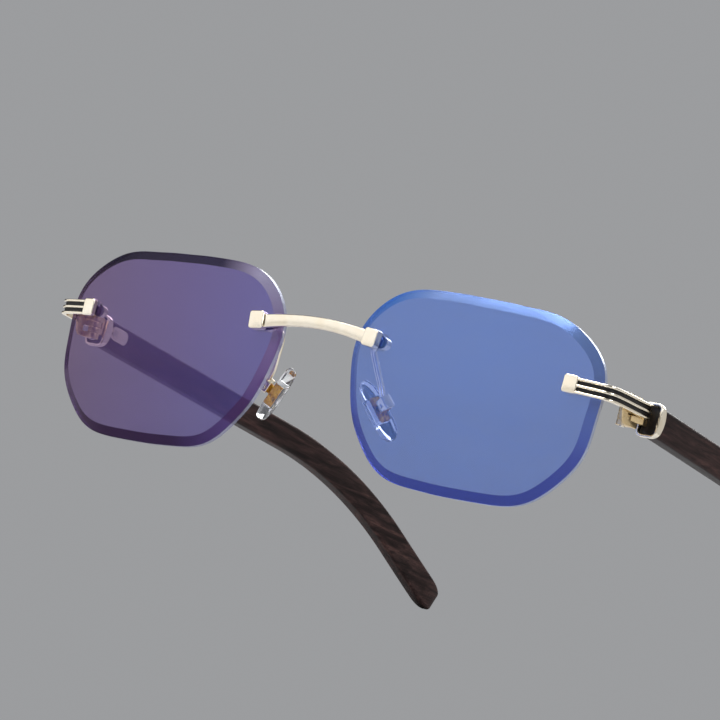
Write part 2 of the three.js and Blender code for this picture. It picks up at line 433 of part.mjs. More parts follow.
// ------------------------------------ stand the glasses on lenses and temples
function lowest(names, tilt) {
  let z = Infinity;
  for (const m of glasses.children) if (names.some((k) => m.name.startsWith(k))) {
    const p = m.geometry.attributes.position;
    for (let i = 0; i < p.count; i++) z = Math.min(z, p.getZ(i) * Math.cos(tilt) + p.getY(i) * Math.sin(tilt));
  }
  return z;
}
let lo = 0, hi = rad(12);
for (let i = 0; i < 50; i++) {
  const mid = (lo + hi) / 2;
  if (lowest(["temple_left"], mid) < lowest(["lens_left"], mid)) lo = mid; else hi = mid;
}
glasses.rotation.x = (lo + hi) / 2;
glasses.updateMatrixWorld(true);
const bounds = new THREE.Box3().setFromObject(glasses, true);
glasses.position.set(-(bounds.min.x + bounds.max.x) / 2, -(bounds.min.y + bounds.max.y) / 2, -bounds.min.z);
glasses.updateMatrixWorld(true);

export default glasses;
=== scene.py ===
import json
import math

import bpy
import numpy as np
from mathutils import Matrix, Vector


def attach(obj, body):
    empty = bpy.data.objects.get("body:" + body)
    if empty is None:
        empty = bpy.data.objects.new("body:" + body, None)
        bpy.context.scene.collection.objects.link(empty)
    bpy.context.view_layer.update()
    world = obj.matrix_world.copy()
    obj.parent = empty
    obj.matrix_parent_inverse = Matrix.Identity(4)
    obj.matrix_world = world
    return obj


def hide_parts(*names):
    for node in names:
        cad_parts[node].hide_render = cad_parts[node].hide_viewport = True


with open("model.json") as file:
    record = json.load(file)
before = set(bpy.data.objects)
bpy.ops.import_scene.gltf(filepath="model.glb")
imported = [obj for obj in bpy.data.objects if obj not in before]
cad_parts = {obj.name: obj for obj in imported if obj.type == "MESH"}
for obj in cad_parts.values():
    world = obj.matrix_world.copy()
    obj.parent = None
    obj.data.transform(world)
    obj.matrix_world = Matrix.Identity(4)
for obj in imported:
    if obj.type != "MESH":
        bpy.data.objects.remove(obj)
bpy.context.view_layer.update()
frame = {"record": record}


scene = bpy.context.scene

# ------------------------------------------------------------------ the frame
# Pieces are drawn in the design frame of the glasses, in millimetres (X across
# the face, Y towards the temple tips, Z up, origin between the lens centres),
# and row() takes them to the row frame in metres.
TILT = math.radians(4.834787891840875)
SHIFT_Y, SHIFT_Z = -72.78177867971391, 18.601176636480723


def turn(p):
    p = np.asarray(p, float).reshape(-1, 3)
    c, s = math.cos(TILT), math.sin(TILT)
    return np.stack([p[:, 0], p[:, 1] * c - p[:, 2] * s, p[:, 1] * s + p[:, 2] * c], 1)


def row(p):
    return (turn(p) + np.array([0, SHIFT_Y, SHIFT_Z])) / 1000


BODY = {n: b for b, ns in frame["record"]["behaviour"]["bodies"].items() for n in ns}

# ----------------------------------------------------------------- dimensions
LENS_CENTRE_X, LENS_WRAP, LENS_RADIUS = 35.74, math.radians(3.67), 200.0
LENS_SET_BACK, LENS_THICK = 0.27, 1.65
LENS_BEVEL, LENS_BEVEL_DEPTH, LENS_EDGE_BREAK = 1.8, 0.65, 0.15
OUTLINE = np.array([[27.11,0],[27.33,2.39],[27.5,4.85],[27.32,7.32],[26.53,9.66],[25.12,11.71],[23.31,13.46],[21.33,14.93],[19.27,16.17],[17.13,17.13],[14.9,17.76],[12.66,18.08],[10.51,18.2],[8.52,18.27],[6.69,18.37],[4.95,18.49],[3.27,18.57],[1.63,18.61],[0,18.64],[-1.64,18.69],[-3.31,18.76],[-5.04,18.81],[-6.85,18.81],[-8.76,18.79],[-10.83,18.77],[-13.1,18.7],[-15.5,18.47],[-17.92,17.92],[-20.2,16.95],[-22.27,15.59],[-24.09,13.91],[-25.63,11.95],[-26.78,9.75],[-27.41,7.34],[-27.47,4.84],[-27.1,2.37],[-26.53,0],[-25.92,-2.27],[-25.27,-4.46],[-24.46,-6.55],[-23.42,-8.52],[-22.17,-10.34],[-20.82,-12.02],[-19.43,-13.61],[-17.96,-15.07],[-16.32,-16.32],[-14.5,-17.28],[-12.53,-17.89],[-10.52,-18.23],[-8.58,-18.4],[-6.74,-18.51],[-4.99,-18.62],[-3.3,-18.72],[-1.64,-18.79],[0,-18.82],[1.65,-18.82],[3.32,-18.81],[5.04,-18.8],[6.83,-18.77],[8.73,-18.73],[10.77,-18.65],[12.92,-18.44],[15.09,-17.99],[17.17,-17.17],[19.05,-15.98],[20.74,-14.52],[22.34,-12.9],[23.88,-11.14],[25.25,-9.19],[26.25,-7.03],[26.78,-4.72],[26.98,-2.36]]) * [0.988, 1]
NASAL = dict(u=-22.21, v=7.67, front=1.99, w=3.16, h=3.46, turn=0.116)
TEMPORAL = dict(u=21.13, v=5.46, front=1.26, w=2.87, h=3.40, turn=0.033)
BLOCK_REAR, BLOCK_CORNER = 0.22, 0.55
STUD_R, CLEAR_R, LENS_HOLE_R, BUSHING_R = 0.55, 0.66, 0.95, 0.88
SPACER_R, WASHER_R, NUT_R, SOFT_GAP, REAR_GAP = 1.12, 1.2, 1.15, 0.03, 0.1
BRIDGE = dict(yFront=-0.85, thick=0.95, zMid=9.0, zEnd=7.65, hMid=2.25, hEnd=2.65, half=12.6)
ENDPIECE = np.array([[57.98,1.8,5.35],[59.4,2.05,5.29],[61.5,2.48,5.2],[63.2,2.85,5.12],[64.1,3.15,5.08],[64.8,3.62,5.05],[65.3,4.35,5.02],[65.6,5.3,4.97],[65.78,6.6,4.9],[65.92,8.6,4.79],[66.05,11,4.64],[66.3,16.05,4.36]])
RIB_PITCH, RIB_H, GROOVE_DEPTH, ENDPIECE_THICK = 1.22, 0.52, 0.45, 0.95
HINGE_X, HINGE_Y, HINGE_Z0, KNUCKLE_H, KNUCKLE_GAP = 63.0, 12.4, 0.75, 1.08, 0.075
HINGE_PIN_R = 0.5
TEMPLE_X, TEMPLE_Y, TEMPLE_Z, TEMPLE_DROP = 65.7, 14.0, 3.45, 6.38
TEMPLE_HALF_T, TEMPLE_HALF_H, TEMPLE_START, TEMPLE_END = 1.8, 2.85, 3.95, 137.2
SCREW_Y, SCREW_Z = 6.0, 0.6
PAD_PIVOT = np.array([14.09, 7.18, -3.34])
PAD_LONG, PAD_NOSE = np.array([0.585, 0.26, -0.765]), np.array([-0.79, 0.40, -0.455])
PAD_LEN, PAD_WID, PAD_THICK, PAD_REACH = 12.7, 4.6, 2.3, 2.85


# ------------------------------------------------------------------- geometry
# A shape is (points, faces, material number of each face), in millimetres.
def unit(v):
    v = np.asarray(v, float)
    return v / np.linalg.norm(v)


def area(o):
    o = np.asarray(o, float)
    n = np.roll(o, -1, 0)
    return 0.5 * float(np.sum(o[:, 0] * n[:, 1] - n[:, 0] * o[:, 1]))


def fillet(points, radius, seg=5):
    """A closed polygon with its corners rounded."""
    pts = [np.array(p, float) for p in points]
    out, n = [], len(pts)
    for i, p in enumerate(pts):
        r = radius[i] if hasattr(radius, "__len__") else radius
        u, v = pts[i - 1] - p, pts[(i + 1) % n] - p
        lu, lv = np.linalg.norm(u), np.linalg.norm(v)
        u, v = u / lu, v / lv
        ang = math.acos(max(-1, min(1, float(u @ v))))
        if r <= 0 or ang > math.pi - 1e-3:
            out.append(p)
            continue
        t = min(r / math.tan(ang / 2), 0.49 * lu, 0.49 * lv)
        c = p + unit(u + v) * t / math.cos(ang / 2)
        s, e = p + u * t - c, p + v * t - c
        rr = np.linalg.norm(s)
        a0 = math.atan2(s[1], s[0])
        d = (math.atan2(e[1], e[0]) - a0 + math.pi) % (2 * math.pi) - math.pi
        for k in range(seg + 1):
            a = a0 + d * k / seg
            out.append(c + rr * np.array([math.cos(a), math.sin(a)]))
    return np.array(out)


def inset(o, d):
    o = np.asarray(o, float)
    a, b = np.roll(o, 1, 0), np.roll(o, -1, 0)
    t = b - a
    t /= np.maximum(np.linalg.norm(t, axis=1, keepdims=True), 1e-9)
    s = 1 if area(o) > 0 else -1
    return o + s * d * np.stack([-t[:, 1], t[:, 0]], 1)


def rect(w, h, r, seg=6):
    return fillet([(-w / 2, -h / 2), (w / 2, -h / 2), (w / 2, h / 2), (-w / 2, h / 2)], r, seg)


def tube(rings, caps=True, closed=False, mats=None, cap_mat=0):
    """Closed sections joined in a row. mats gives the material of each strip along the section, or of each ring."""
    rings = [np.asarray(r, float) for r in rings]
    n, k = len(rings[0]), len(rings)
    pts = np.concatenate(rings)
    faces, ms = [], []
    for j in range(k if closed else k - 1):
        jj = (j + 1) % k
        for i in range(n):
            ii = (i + 1) % n
            faces.append((j * n + i, j * n + ii, jj * n + ii, jj * n + i))
            ms.append(mats(j, i) if mats else 0)
    if caps and not closed:
        faces.append(tuple(range(n - 1, -1, -1)))
        faces.append(tuple((k - 1) * n + i for i in range(n)))
        ms += [cap_mat, cap_mat]
    return pts, faces, ms


def slab(o, z0, z1, bevel=0.1, seg=3):
    """An outline made thick, both rims rounded."""
    if area(o) < 0:
        o = o[::-1]
    rings = []
    for k in range(seg + 1):
        a = math.pi / 2 * k / seg
        q = inset(o, bevel * (1 - math.sin(a)))
        rings.append(np.c_[q, np.full(len(q), z0 + bevel * (1 - math.cos(a)))])
    for k in range(seg, -1, -1):
        a = math.pi / 2 * k / seg
        q = inset(o, bevel * (1 - math.sin(a)))
        rings.append(np.c_[q, np.full(len(q), z1 - bevel * (1 - math.cos(a)))])
    return tube(rings)


def turned(profile, seg=48):
    """A profile of (radius, z) turned about Z. It is closed on itself, or starts and ends on the axis."""
    pts, faces = [], []
    on_axis = profile[0][0] == 0
    prof = [tuple(p) for p in profile]
    idx = []
    for r, z in prof:
        if r == 0:
            idx.append([len(pts)] * seg)
            pts.append((0, 0, z))
        else:
            idx.append(list(range(len(pts), len(pts) + seg)))
            pts += [(r * math.cos(2 * math.pi * i / seg), r * math.sin(2 * math.pi * i / seg), z) for i in range(seg)]
    m = len(prof)
    for j in range(m - 1 if on_axis else m):
        a, b = idx[j], idx[(j + 1) % m]
        for i in range(seg):
            ii = (i + 1) % seg
            f = []
            for q in (a[i], a[ii], b[ii], b[i]):
                if q not in f:
                    f.append(q)
            if len(f) > 2:
                faces.append(tuple(f))
    return np.array(pts, float), faces, [0] * len(faces)


def soft_profile(profile, r, seg=3):
    """The same profile with its outer corners rounded; points on the axis stay."""
    out = []
    for i, p in enumerate(profile):
        if 0 < i < len(profile) - 1 and p[0] > 0:
            a, b = np.array(profile[i - 1], float), np.array(profile[i + 1], float)
            c = np.array(p, float)
            u, v = a - c, b - c
            lu, lv = np.linalg.norm(u), np.linalg.norm(v)
            t = min(r, 0.45 * lu, 0.45 * lv)
            s, e = c + u / lu * t, c + v / lv * t
            for k in range(seg + 1):
                f = k / seg
                out.append(tuple((1 - f) ** 2 * s + 2 * f * (1 - f) * c + f * f * e))
        else:
            out.append(tuple(p))
    return out


def washer(ri, ro, z0, z1, r=0.05):
    prof = fillet([(ri, z0), (ro, z0), (ro, z1), (ri, z1)], min(r, (z1 - z0) * 0.4), 3)
    return turned([tuple(p) for p in prof])


def rod(r, z0, z1, seg=40):
    return turned([(0, z0), (r, z0), (r, z1), (0, z1)], seg)


def brick(x0, x1, y0, y1, z0, z1):
    return tube([[(x0, y0, z0), (x1, y0, z0), (x1, y1, z0), (x0, y1, z0)], [(x0, y0, z1), (x1, y0, z1), (x1, y1, z1), (x0, y1, z1)]])


def affine(o, ex, ey, ez):
    m = np.eye(4)
    m[:3, 0], m[:3, 1], m[:3, 2], m[:3, 3] = ex, ey, ez, o
    return m


def put(shape, *ms):
    pts, faces, mats = shape
    pts = np.asarray(pts, float)
    for m in ms:
        pts = pts @ m[:3, :3].T + m[:3, 3]
    return pts, faces, mats


def mirrored(shape):
    return np.asarray(shape[0]) * [-1, 1, 1], shape[1], shape[2]


def outward(shape):
    pts, faces, mats = shape
    vol = 0.0
    for f in faces:
        a = pts[f[0]]
        for i in range(1, len(f) - 1):
            vol += float(np.dot(a, np.cross(pts[f[i]], pts[f[i + 1]])))
    if vol < 0:
        faces = [tuple(reversed(f)) for f in faces]
    return pts, faces, mats


def smooth_path(points, n):
    """Points on a smooth curve through the given ones, and its directions."""
    p = np.asarray(points, float)
    p = np.vstack([2 * p[0] - p[1], p, 2 * p[-1] - p[-2]])
    out = []
    for i in range(1, len(p) - 2):
        for k in range(n):
            t = k / n
            out.append(0.5 * ((2 * p[i]) + (-p[i - 1] + p[i + 1]) * t + (2 * p[i - 1] - 5 * p[i] + 4 * p[i + 1] - p[i + 2]) * t * t + (-p[i - 1] + 3 * p[i] - 3 * p[i + 1] + p[i + 2]) * t ** 3))
    out.append(p[-2])
    out = np.array(out)
    d = np.gradient(out, axis=0)
    return out, d / np.linalg.norm(d, axis=1, keepdims=True)


def raw(name, shape, mats):
    pts, faces, ms = outward(shape)
    me = bpy.data.meshes.new(name)
    me.from_pydata([tuple(p) for p in row(pts)], [], [tuple(int(i) for i in f) for f in faces])
    for m in mats:
        me.materials.append(m)
    me.polygons.foreach_set("material_index", np.array(ms, np.int32))
    me.validate()
    me.update()
    ob = bpy.data.objects.new(name, me)
    scene.collection.objects.link(ob)
    return ob


def boolean(ob, shape, op):
    other = raw("cutter", shape, list(ob.data.materials))
    m = ob.modifiers.new("b", "BOOLEAN")
    m.operation, m.solver, m.object, m.material_mode = op, "EXACT", other, "INDEX"
    bpy.context.view_layer.update()
    dg = bpy.context.evaluated_depsgraph_get()
    new = bpy.data.meshes.new_from_object(ob.evaluated_get(dg))
    ob.modifiers.clear()
    old, ob.data = ob.data, new
    new.name = ob.name
    bpy.data.meshes.remove(old)
    bpy.data.objects.remove(other)


def piece(node, shape, mats, cuts=(), joins=(), sharp=35):
    mats = mats if isinstance(mats, (list, tuple)) else [mats]
    ob = raw(node + "_shape", shape, mats)
    for s in joins:
        boolean(ob, s, "UNION")
    for s in cuts:
        boolean(ob, s, "DIFFERENCE")
    ob.data.polygons.foreach_set("use_smooth", [True] * len(ob.data.polygons))
    ob.data.set_sharp_from_angle(angle=math.radians(sharp))
    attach(ob, BODY[node])
    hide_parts(node)
    return ob


def both(name, shape, mats, cuts=(), joins=(), sharp=35):
    a = piece(name + "_right", shape, mats, cuts, joins, sharp)
    b = piece(name + "_left", mirrored(shape), mats, [mirrored(s) for s in cuts], [mirrored(s) for s in joins], sharp)
    return a, b


# ------------------------------------------------------------------ materials
class Nodes:
    def __init__(self, name):
        self.m = bpy.data.materials.new(name)
        self.m.use_nodes = True
        self.t = self.m.node_tree
        self.t.nodes.clear()
        self.out = self.n("ShaderNodeOutputMaterial")

    def n(self, kind, **kw):
        o = self.t.nodes.new(kind)
        for k, v in kw.items():
            setattr(o, k, v)
        return o

    def link(self, a, b):
        self.t.links.new(a, b)

    def coords(self, scale=(1, 1, 1), turned_by=(0, 0, 0)):
        tc = self.n("ShaderNodeTexCoord")
        mp = self.n("ShaderNodeMapping")
        mp.inputs["Scale"].default_value = scale
        mp.inputs["Rotation"].default_value = turned_by
        self.link(tc.outputs["Object"], mp.inputs["Vector"])
        return mp.outputs["Vector"]

    def noise(self, vec, scale, detail=4, rough=0.55, distortion=0.0):
        o = self.n("ShaderNodeTexNoise")
        o.inputs["Scale"].default_value = scale
        o.inputs["Detail"].default_value = detail
        o.inputs["Roughness"].default_value = rough
        o.inputs["Distortion"].default_value = distortion
        self.link(vec, o.inputs["Vector"])
        return o.outputs["Fac"]

    def ramp(self, fac, stops, interpolation="LINEAR"):
        o = self.n("ShaderNodeValToRGB")
        o.color_ramp.interpolation = interpolation
        el = o.color_ramp.elements
        while len(el) < len(stops):
            el.new(0.5)
        for e, (pos, c) in zip(el, stops):
            e.position = pos
            e.color = (*c, 1) if len(c) == 3 else c
        self.link(fac, o.inputs["Fac"])
        return o.outputs["Color"]

    def span(self, fac, lo, hi, a=0.0, b=1.0):
        o = self.n("ShaderNodeMapRange")
        o.inputs["From Min"].default_value, o.inputs["From Max"].default_value = a, b
        o.inputs["To Min"].default_value, o.inputs["To Max"].default_value = lo, hi
        self.link(fac, o.inputs["Value"])
        return o.outputs["Result"]

    def math(self, op, a, b):
        o = self.n("ShaderNodeMath", operation=op)
        for i, v in enumerate((a, b)):
            if isinstance(v, (int, float)):
                o.inputs[i].default_value = v
            else:
                self.link(v, o.inputs[i])
        return o.outputs[0]

    def mix(self, fac, a, b, blend="MIX"):
        o = self.n("ShaderNodeMix", data_type="RGBA", blend_type=blend)
        for k, v in ((0, fac), (6, a), (7, b)):
            if isinstance(v, (int, float)):
                o.inputs[k].default_value = v
            elif isinstance(v, tuple):
                o.inputs[k].default_value = (*v, 1)
            else:
                self.link(v, o.inputs[k])
        return o.outputs[2]

    def bump(self, height, strength, distance):
        o = self.n("ShaderNodeBump")
        o.inputs["Strength"].default_value = strength
        o.inputs["Distance"].default_value = distance
        self.link(height, o.inputs["Height"])
        return o.outputs["Normal"]

    def principled(self, **kw):
        o = self.n("ShaderNodeBsdfPrincipled")
        for k, v in kw.items():
            k = k.replace("_", " ")
            if isinstance(v, (int, float)):
                o.inputs[k].default_value = v
            elif isinstance(v, tuple):
                o.inputs[k].default_value = (*v, 1) if o.inputs[k].type == "RGBA" else v
            else:
                self.link(v, o.inputs[k])
        return o


def metal(name, dark, light, rough=(0.12, 0.26), grain=0.05, worn=(1.0, 0.93, 0.78)):
    """Polished plated metal: slight cloudiness of the plating, fine polishing lines, small bright worn spots."""
    g = Nodes(name)
    v = g.coords()
    cloud = g.noise(v, 260, 5, 0.6)
    fine = g.noise(g.coords((1, 1, 6)), 5200, 3, 0.6)
    speck = g.noise(v, 1900, 4, 0.7)
    base = g.ramp(cloud, [(0.3, dark), (0.7, light)])
    wear = g.span(speck, 0.0, 0.55, 0.62, 0.74)
    base = g.mix(wear, base, worn)
    r = g.math("ADD", g.span(cloud, rough[0], rough[1] - 0.04, 0.3, 0.7), g.span(fine, -0.02, 0.04, 0.3, 0.7))
    p = g.principled(Base_Color=base, Metallic=1.0, Roughness=r)
    g.link(g.bump(g.math("ADD", fine, g.math("MULTIPLY", speck, 0.6)), grain, 0.00004), p.inputs["Normal"])
    g.link(p.outputs[0], g.out.inputs["Surface"])
    return g.m


GOLD = metal("gold_plating", (0.94, 0.83, 0.64), (1.0, 0.93, 0.79), rough=(0.10, 0.22))
GOLD_SATIN = metal("gold_satin", (0.72, 0.53, 0.27), (0.86, 0.68, 0.41), rough=(0.24, 0.4), grain=0.12, worn=(0.95, 0.84, 0.62))
STEEL = metal("screw_metal", (0.70, 0.64, 0.52), (0.88, 0.83, 0.72), rough=(0.16, 0.32), grain=0.1, worn=(0.95, 0.93, 0.88))


# painted shade: a near-black fill for the groove floors and the recessed end plate, standing in for their shade
def groove_shade_fill():
    g = Nodes("painted_groove_shade")
    v = g.coords()
    cloud = g.noise(v, 900, 4, 0.6)
    base = g.ramp(cloud, [(0.3, (0.004, 0.003, 0.003)), (0.75, (0.012, 0.009, 0.0085))])
    p = g.principled(Base_Color=base, Roughness=g.span(cloud, 0.28, 0.42, 0.3, 0.7))
    p.inputs["Specular IOR Level"].default_value = 0.3
    g.link(g.bump(g.noise(v, 3200, 3), 0.12, 0.00004), p.inputs["Normal"])
    g.link(p.outputs[0], g.out.inputs["Surface"])
    return g.m


PAINTED_GROOVE_SHADE = groove_shade_fill()


def wood(name):
    """Dark rosewood: long slanting grain, open pores, brown and reddish streaks, under a thin satin finish."""
    g = Nodes(name)
    slope = math.radians(TEMPLE_DROP) - TILT
    lean = (slope + math.radians(9), 0, 0)
    streak = g.noise(g.coords((1, 0.09, 1), lean), 780, 6, 0.66, 0.5)
    fine = g.noise(g.coords((1, 0.07, 1), lean), 2300, 4, 0.6, 0.2)
    patch = g.noise(g.coords((1, 0.35, 1)), 90, 3, 0.5)
    pores = g.n("ShaderNodeTexVoronoi", feature="F1")
    pores.inputs["Scale"].default_value = 1900
    g.link(g.coords((1, 0.12, 1), lean), pores.inputs["Vector"])
    base = g.ramp(streak, [(0.34, (0.007, 0.0036, 0.0034)), (0.47, (0.020, 0.0112, 0.0104)), (0.58, (0.042, 0.0235, 0.0215)), (0.72, (0.085, 0.046, 0.040))])
    base = g.mix(g.span(patch, 0.0, 0.55, 0.35, 0.7), base, g.mix(1.0, base, (0.72, 0.52, 0.52), "MULTIPLY"))
    dark = g.span(fine, 0.0, 0.7, 0.58, 0.75)
    base = g.mix(dark, base, (0.009, 0.0055, 0.005))
    pit = g.span(pores.outputs["Distance"], 1.0, 0.0, 0.05, 0.28)
    base = g.mix(g.math("MULTIPLY", pit, 0.55), base, (0.006, 0.004, 0.004))
    height = g.math("SUBTRACT", g.math("ADD", g.math("MULTIPLY", fine, 0.7), streak), g.math("MULTIPLY", pit, 0.8))
    p = g.principled(Base_Color=base, Roughness=g.span(streak, 0.38, 0.56, 0.3, 0.7), Coat_Weight=0.01, Coat_Roughness=0.25)
    p.inputs["Specular IOR Level"].default_value = 0.09
    g.link(g.bump(height, 0.35, 0.00006), p.inputs["Normal"])
    g.link(p.outputs[0], g.out.inputs["Surface"])
    return g.m


WOOD = wood("rosewood")


def clear(name, colour, rough, through, ior=1.43, haze=0.1):
    """Clear moulded silicone or nylon, a little cloudy inside, with a soft skin."""
    g = Nodes(name)
    v = g.coords()
    cloud = g.noise(v, 420, 4, 0.55)
    skin = g.noise(v, 2600, 3, 0.6)
    base = g.ramp(cloud, [(0.3, tuple(c * 0.93 for c in colour)), (0.7, colour)])
    p = g.principled(Base_Color=base, Roughness=g.span(skin, rough, rough + 0.1, 0.3, 0.7), IOR=ior, Transmission_Weight=through)
    g.link(g.bump(skin, 0.05, 0.00004), p.inputs["Normal"])
    g.link(p.outputs[0], g.out.inputs["Surface"])
    return g.m


SILICONE = clear("clear_silicone", (0.96, 0.975, 0.99), 0.02, 0.96, 1.36)
NYLON = clear("clear_nylon", (0.40, 0.41, 0.43), 0.16, 0.8, 1.45)


def insert_finish():
    g = Nodes("insert_gold")
    v = g.coords()
    cloud = g.noise(g.coords((1, 1, 0.4)), 1400, 5, 0.65)
    base = g.ramp(cloud, [(0.36, (0.13, 0.038, 0.0015)), (0.5, (0.55, 0.22, 0.006)), (0.66, (0.90, 0.52, 0.045))])
    p = g.principled(Base_Color=base, Metallic=g.span(cloud, 0.55, 0.95, 0.3, 0.7), Roughness=g.span(cloud, 0.22, 0.42, 0.3, 0.7))
    g.link(g.bump(g.noise(v, 2800, 3), 0.25, 0.00006), p.inputs["Normal"])
    g.link(p.outputs[0], g.out.inputs["Surface"])
    return g.m


INSERT = insert_finish()


def coating(name, veil, through_scale, gloss=0.05, dim=1.0, painted_edge_sheen=0.0, facet=False):
    """Coated tinted lens. Part of the light passes, tinted violet to blue across the pair of lenses, and part comes
    back off the coating. The coating colour carries painted shade towards the bottom; the edge band gets a painted
    pale sheen, and the bevel band painted highlights and painted shade.
    """
    g = Nodes(name)
    tc = g.n("ShaderNodeTexCoord")
    sep = g.n("ShaderNodeSeparateXYZ")
    g.link(tc.outputs["Object"], sep.inputs[0])
    x = g.math("MULTIPLY", g.math("ADD", sep.outputs["X"], 0.064), 1 / 0.128)
    warp = g.noise(g.coords(), 22, 2, 0.5)
    x = g.math("ADD", x, g.span(warp, -0.02, 0.02, 0.3, 0.7))
    z = g.math("MULTIPLY", sep.outputs["Z"], 1 / 0.0375)
    k = dim
    glow = g.ramp(x, [(0.0, (0.165 * k, 0.082 * k, 0.21 * k)), (0.22, (0.17 * k, 0.11 * k, 0.38 * k)), (0.44, (0.15 * k, 0.13 * k, 0.50 * k)), (0.56, (0.085 * k, 0.21 * k, 0.66 * k)), (0.8, (0.080 * k, 0.23 * k, 0.72 * k)), (1.0, (0.080 * k, 0.21 * k, 0.66 * k))])
    # painted shade: the coating colour is darker towards the bottom of each lens
    glow = g.mix(g.span(z, 0.0, 0.35, 0.75, 0.0), glow, g.mix(1.0, glow, (0.78, 0.72, 0.80), "MULTIPLY"))
    # painted highlight: the edge band colour is lifted towards pale grey, as a lit polished edge
    if painted_edge_sheen:
        glow = g.mix(painted_edge_sheen, glow, (0.50, 0.54, 0.62))
    tint = g.ramp(x, [(0.0, (0.45, 0.36, 0.50)), (0.22, (0.42, 0.36, 0.55)), (0.44, (0.43, 0.41, 0.70)), (0.56, (0.54, 0.63, 0.98)), (1.0, (0.54, 0.63, 0.98))])
    if facet:
        # painted light and shade on the bevel band: low facets darker, high facets lighter
        facet_height_shade = g.ramp(z, [(0.0, (0.33, 0.31, 0.60)), (0.30, (0.43, 0.38, 0.64)), (0.62, (0.85, 0.85, 0.95)), (1.0, (1.0, 1.0, 1.0))])
        # painted warm reflection: a warmer, brighter stretch over the nasal half of the left lens
        facet_warm_reflection = g.ramp(x, [(0.28, (1.4, 0.85, 0.72)), (0.37, (1.9, 1.15, 0.72)), (0.46, (1.9, 1.15, 0.72)), (0.54, (1.0, 1.0, 1.0))])
        # painted shade on the low facets of the left lens
        low_left_shade_mask = g.math("MULTIPLY", g.span(z, 1.0, 0.0, 0.08, 0.30), g.ramp(x, [(0.27, (1, 1, 1)), (0.35, (0, 0, 0))]))
        painted_low_shade = g.mix(low_left_shade_mask, (1.0, 1.0, 1.0), (0.55, 0.42, 0.42))
        # stretches along x where the high facets are painted as lit
        painted_light_mask = g.ramp(x, [(0.0, (0, 0, 0)), (0.29, (0, 0, 0)), (0.36, (1, 1, 1)), (0.49, (1, 1, 1)), (0.52, (0, 0, 0)), (0.62, (0, 0, 0)), (0.69, (0.6, 0.6, 0.6)), (1.0, (0.5, 0.5, 0.5))])
        high = g.span(z, 0.0, 1.0, 0.60, 0.92)
        # painted shade on the high facets outside the lit stretches
        unlit_top_shade = g.mix(g.math("MULTIPLY", high, g.math("SUBTRACT", 1.0, painted_light_mask)), (1.0, 1.0, 1.0), g.ramp(x, [(0.45, (0.13, 0.17, 0.20)), (0.52, (0.35, 0.75, 1.0))]), "MIX")
        glow = g.mix(1.0, g.mix(1.0, g.mix(1.0, g.mix(1.0, glow, facet_height_shade, "MULTIPLY"), facet_warm_reflection, "MULTIPLY"), unlit_top_shade, "MULTIPLY"), painted_low_shade, "MULTIPLY")
        # painted highlight on the lit high facets
        glow = g.mix(g.math("MULTIPLY", g.math("MULTIPLY", high, painted_light_mask), 0.58), glow, (0.44, 0.50, 0.60))
        # the see-through tint carries the same painted shade
        tint = g.mix(1.0, g.mix(1.0, g.mix(1.0, tint, facet_height_shade, "MULTIPLY"), unlit_top_shade, "MULTIPLY"), painted_low_shade, "MULTIPLY")
    tint = g.mix(1.0 - through_scale, tint, (1, 1, 1))
    smudge = g.noise(g.coords((1, 1, 2.2)), 130, 5, 0.6)
    tr = g.n("ShaderNodeBsdfTransparent")
    g.link(tint, tr.inputs["Color"])
    p = g.principled(Base_Color=glow, Metallic=0.7, Roughness=g.span(smudge, gloss + 0.10, gloss + 0.18, 0.35, 0.75), Coat_Weight=0.25, Coat_Roughness=gloss)
    g.link(g.bump(g.noise(g.coords(), 60, 2, 0.4), 0.02, 0.0001), p.inputs["Normal"])
    mx = g.n("ShaderNodeMixShader")
    g.link(g.math("ADD", g.span(smudge, -0.015, 0.015, 0.3, 0.7), veil), mx.inputs[0])
    g.link(tr.outputs[0], mx.inputs[1])
    g.link(p.outputs[0], mx.inputs[2])
    g.link(mx.outputs[0], g.out.inputs["Surface"])
    return g.m


LENS_FRONT = coating("lens_front", 0.31, 1.0)
# the bevel band carries painted highlights and painted shade
LENS_FACET = coating("lens_facet", 0.50, 1.0, gloss=0.03, facet=True)
# edge band with a painted pale sheen
LENS_EDGE = coating("lens_edge", 0.54, 0.5, gloss=0.10, dim=1.0, painted_edge_sheen=0.85)
LENS_REAR = coating("lens_rear", 0.05, 0.06, gloss=0.04)


# -------------------------------------------------------------- lens surfaces
cw, sw = math.cos(LENS_WRAP), math.sin(LENS_WRAP)


def from_lens(u, v, w):
    u, v, w = np.broadcast_arrays(np.asarray(u, float), np.asarray(v, float), np.asarray(w, float))
    return np.stack([LENS_CENTRE_X + u * cw - w * sw, u * sw + w * cw, v], -1)


def dir_lens(u, v, w):
    return np.array([u * cw - w * sw, u * sw + w * cw, v], float)


def sag(u, v):
    return (u * u + v * v) / (2 * LENS_RADIUS) + LENS_SET_BACK


def closed_spline(p, n):
    out = []
    m = len(p)
    for i in range(m):
        a, b, c, d = p[i - 1], p[i], p[(i + 1) % m], p[(i + 2) % m]
        for k in range(n):
            t = k / n
            out.append(0.5 * (2 * b + (c - a) * t + (2 * a - 5 * b + 4 * c - d) * t * t + (3 * b - a - 3 * c + d) * t ** 3))
    out = np.array(out)
    for _ in range(14):
        out = 0.25 * np.roll(out, 1, 0) + 0.5 * out + 0.25 * np.roll(out, -1, 0)
    return out


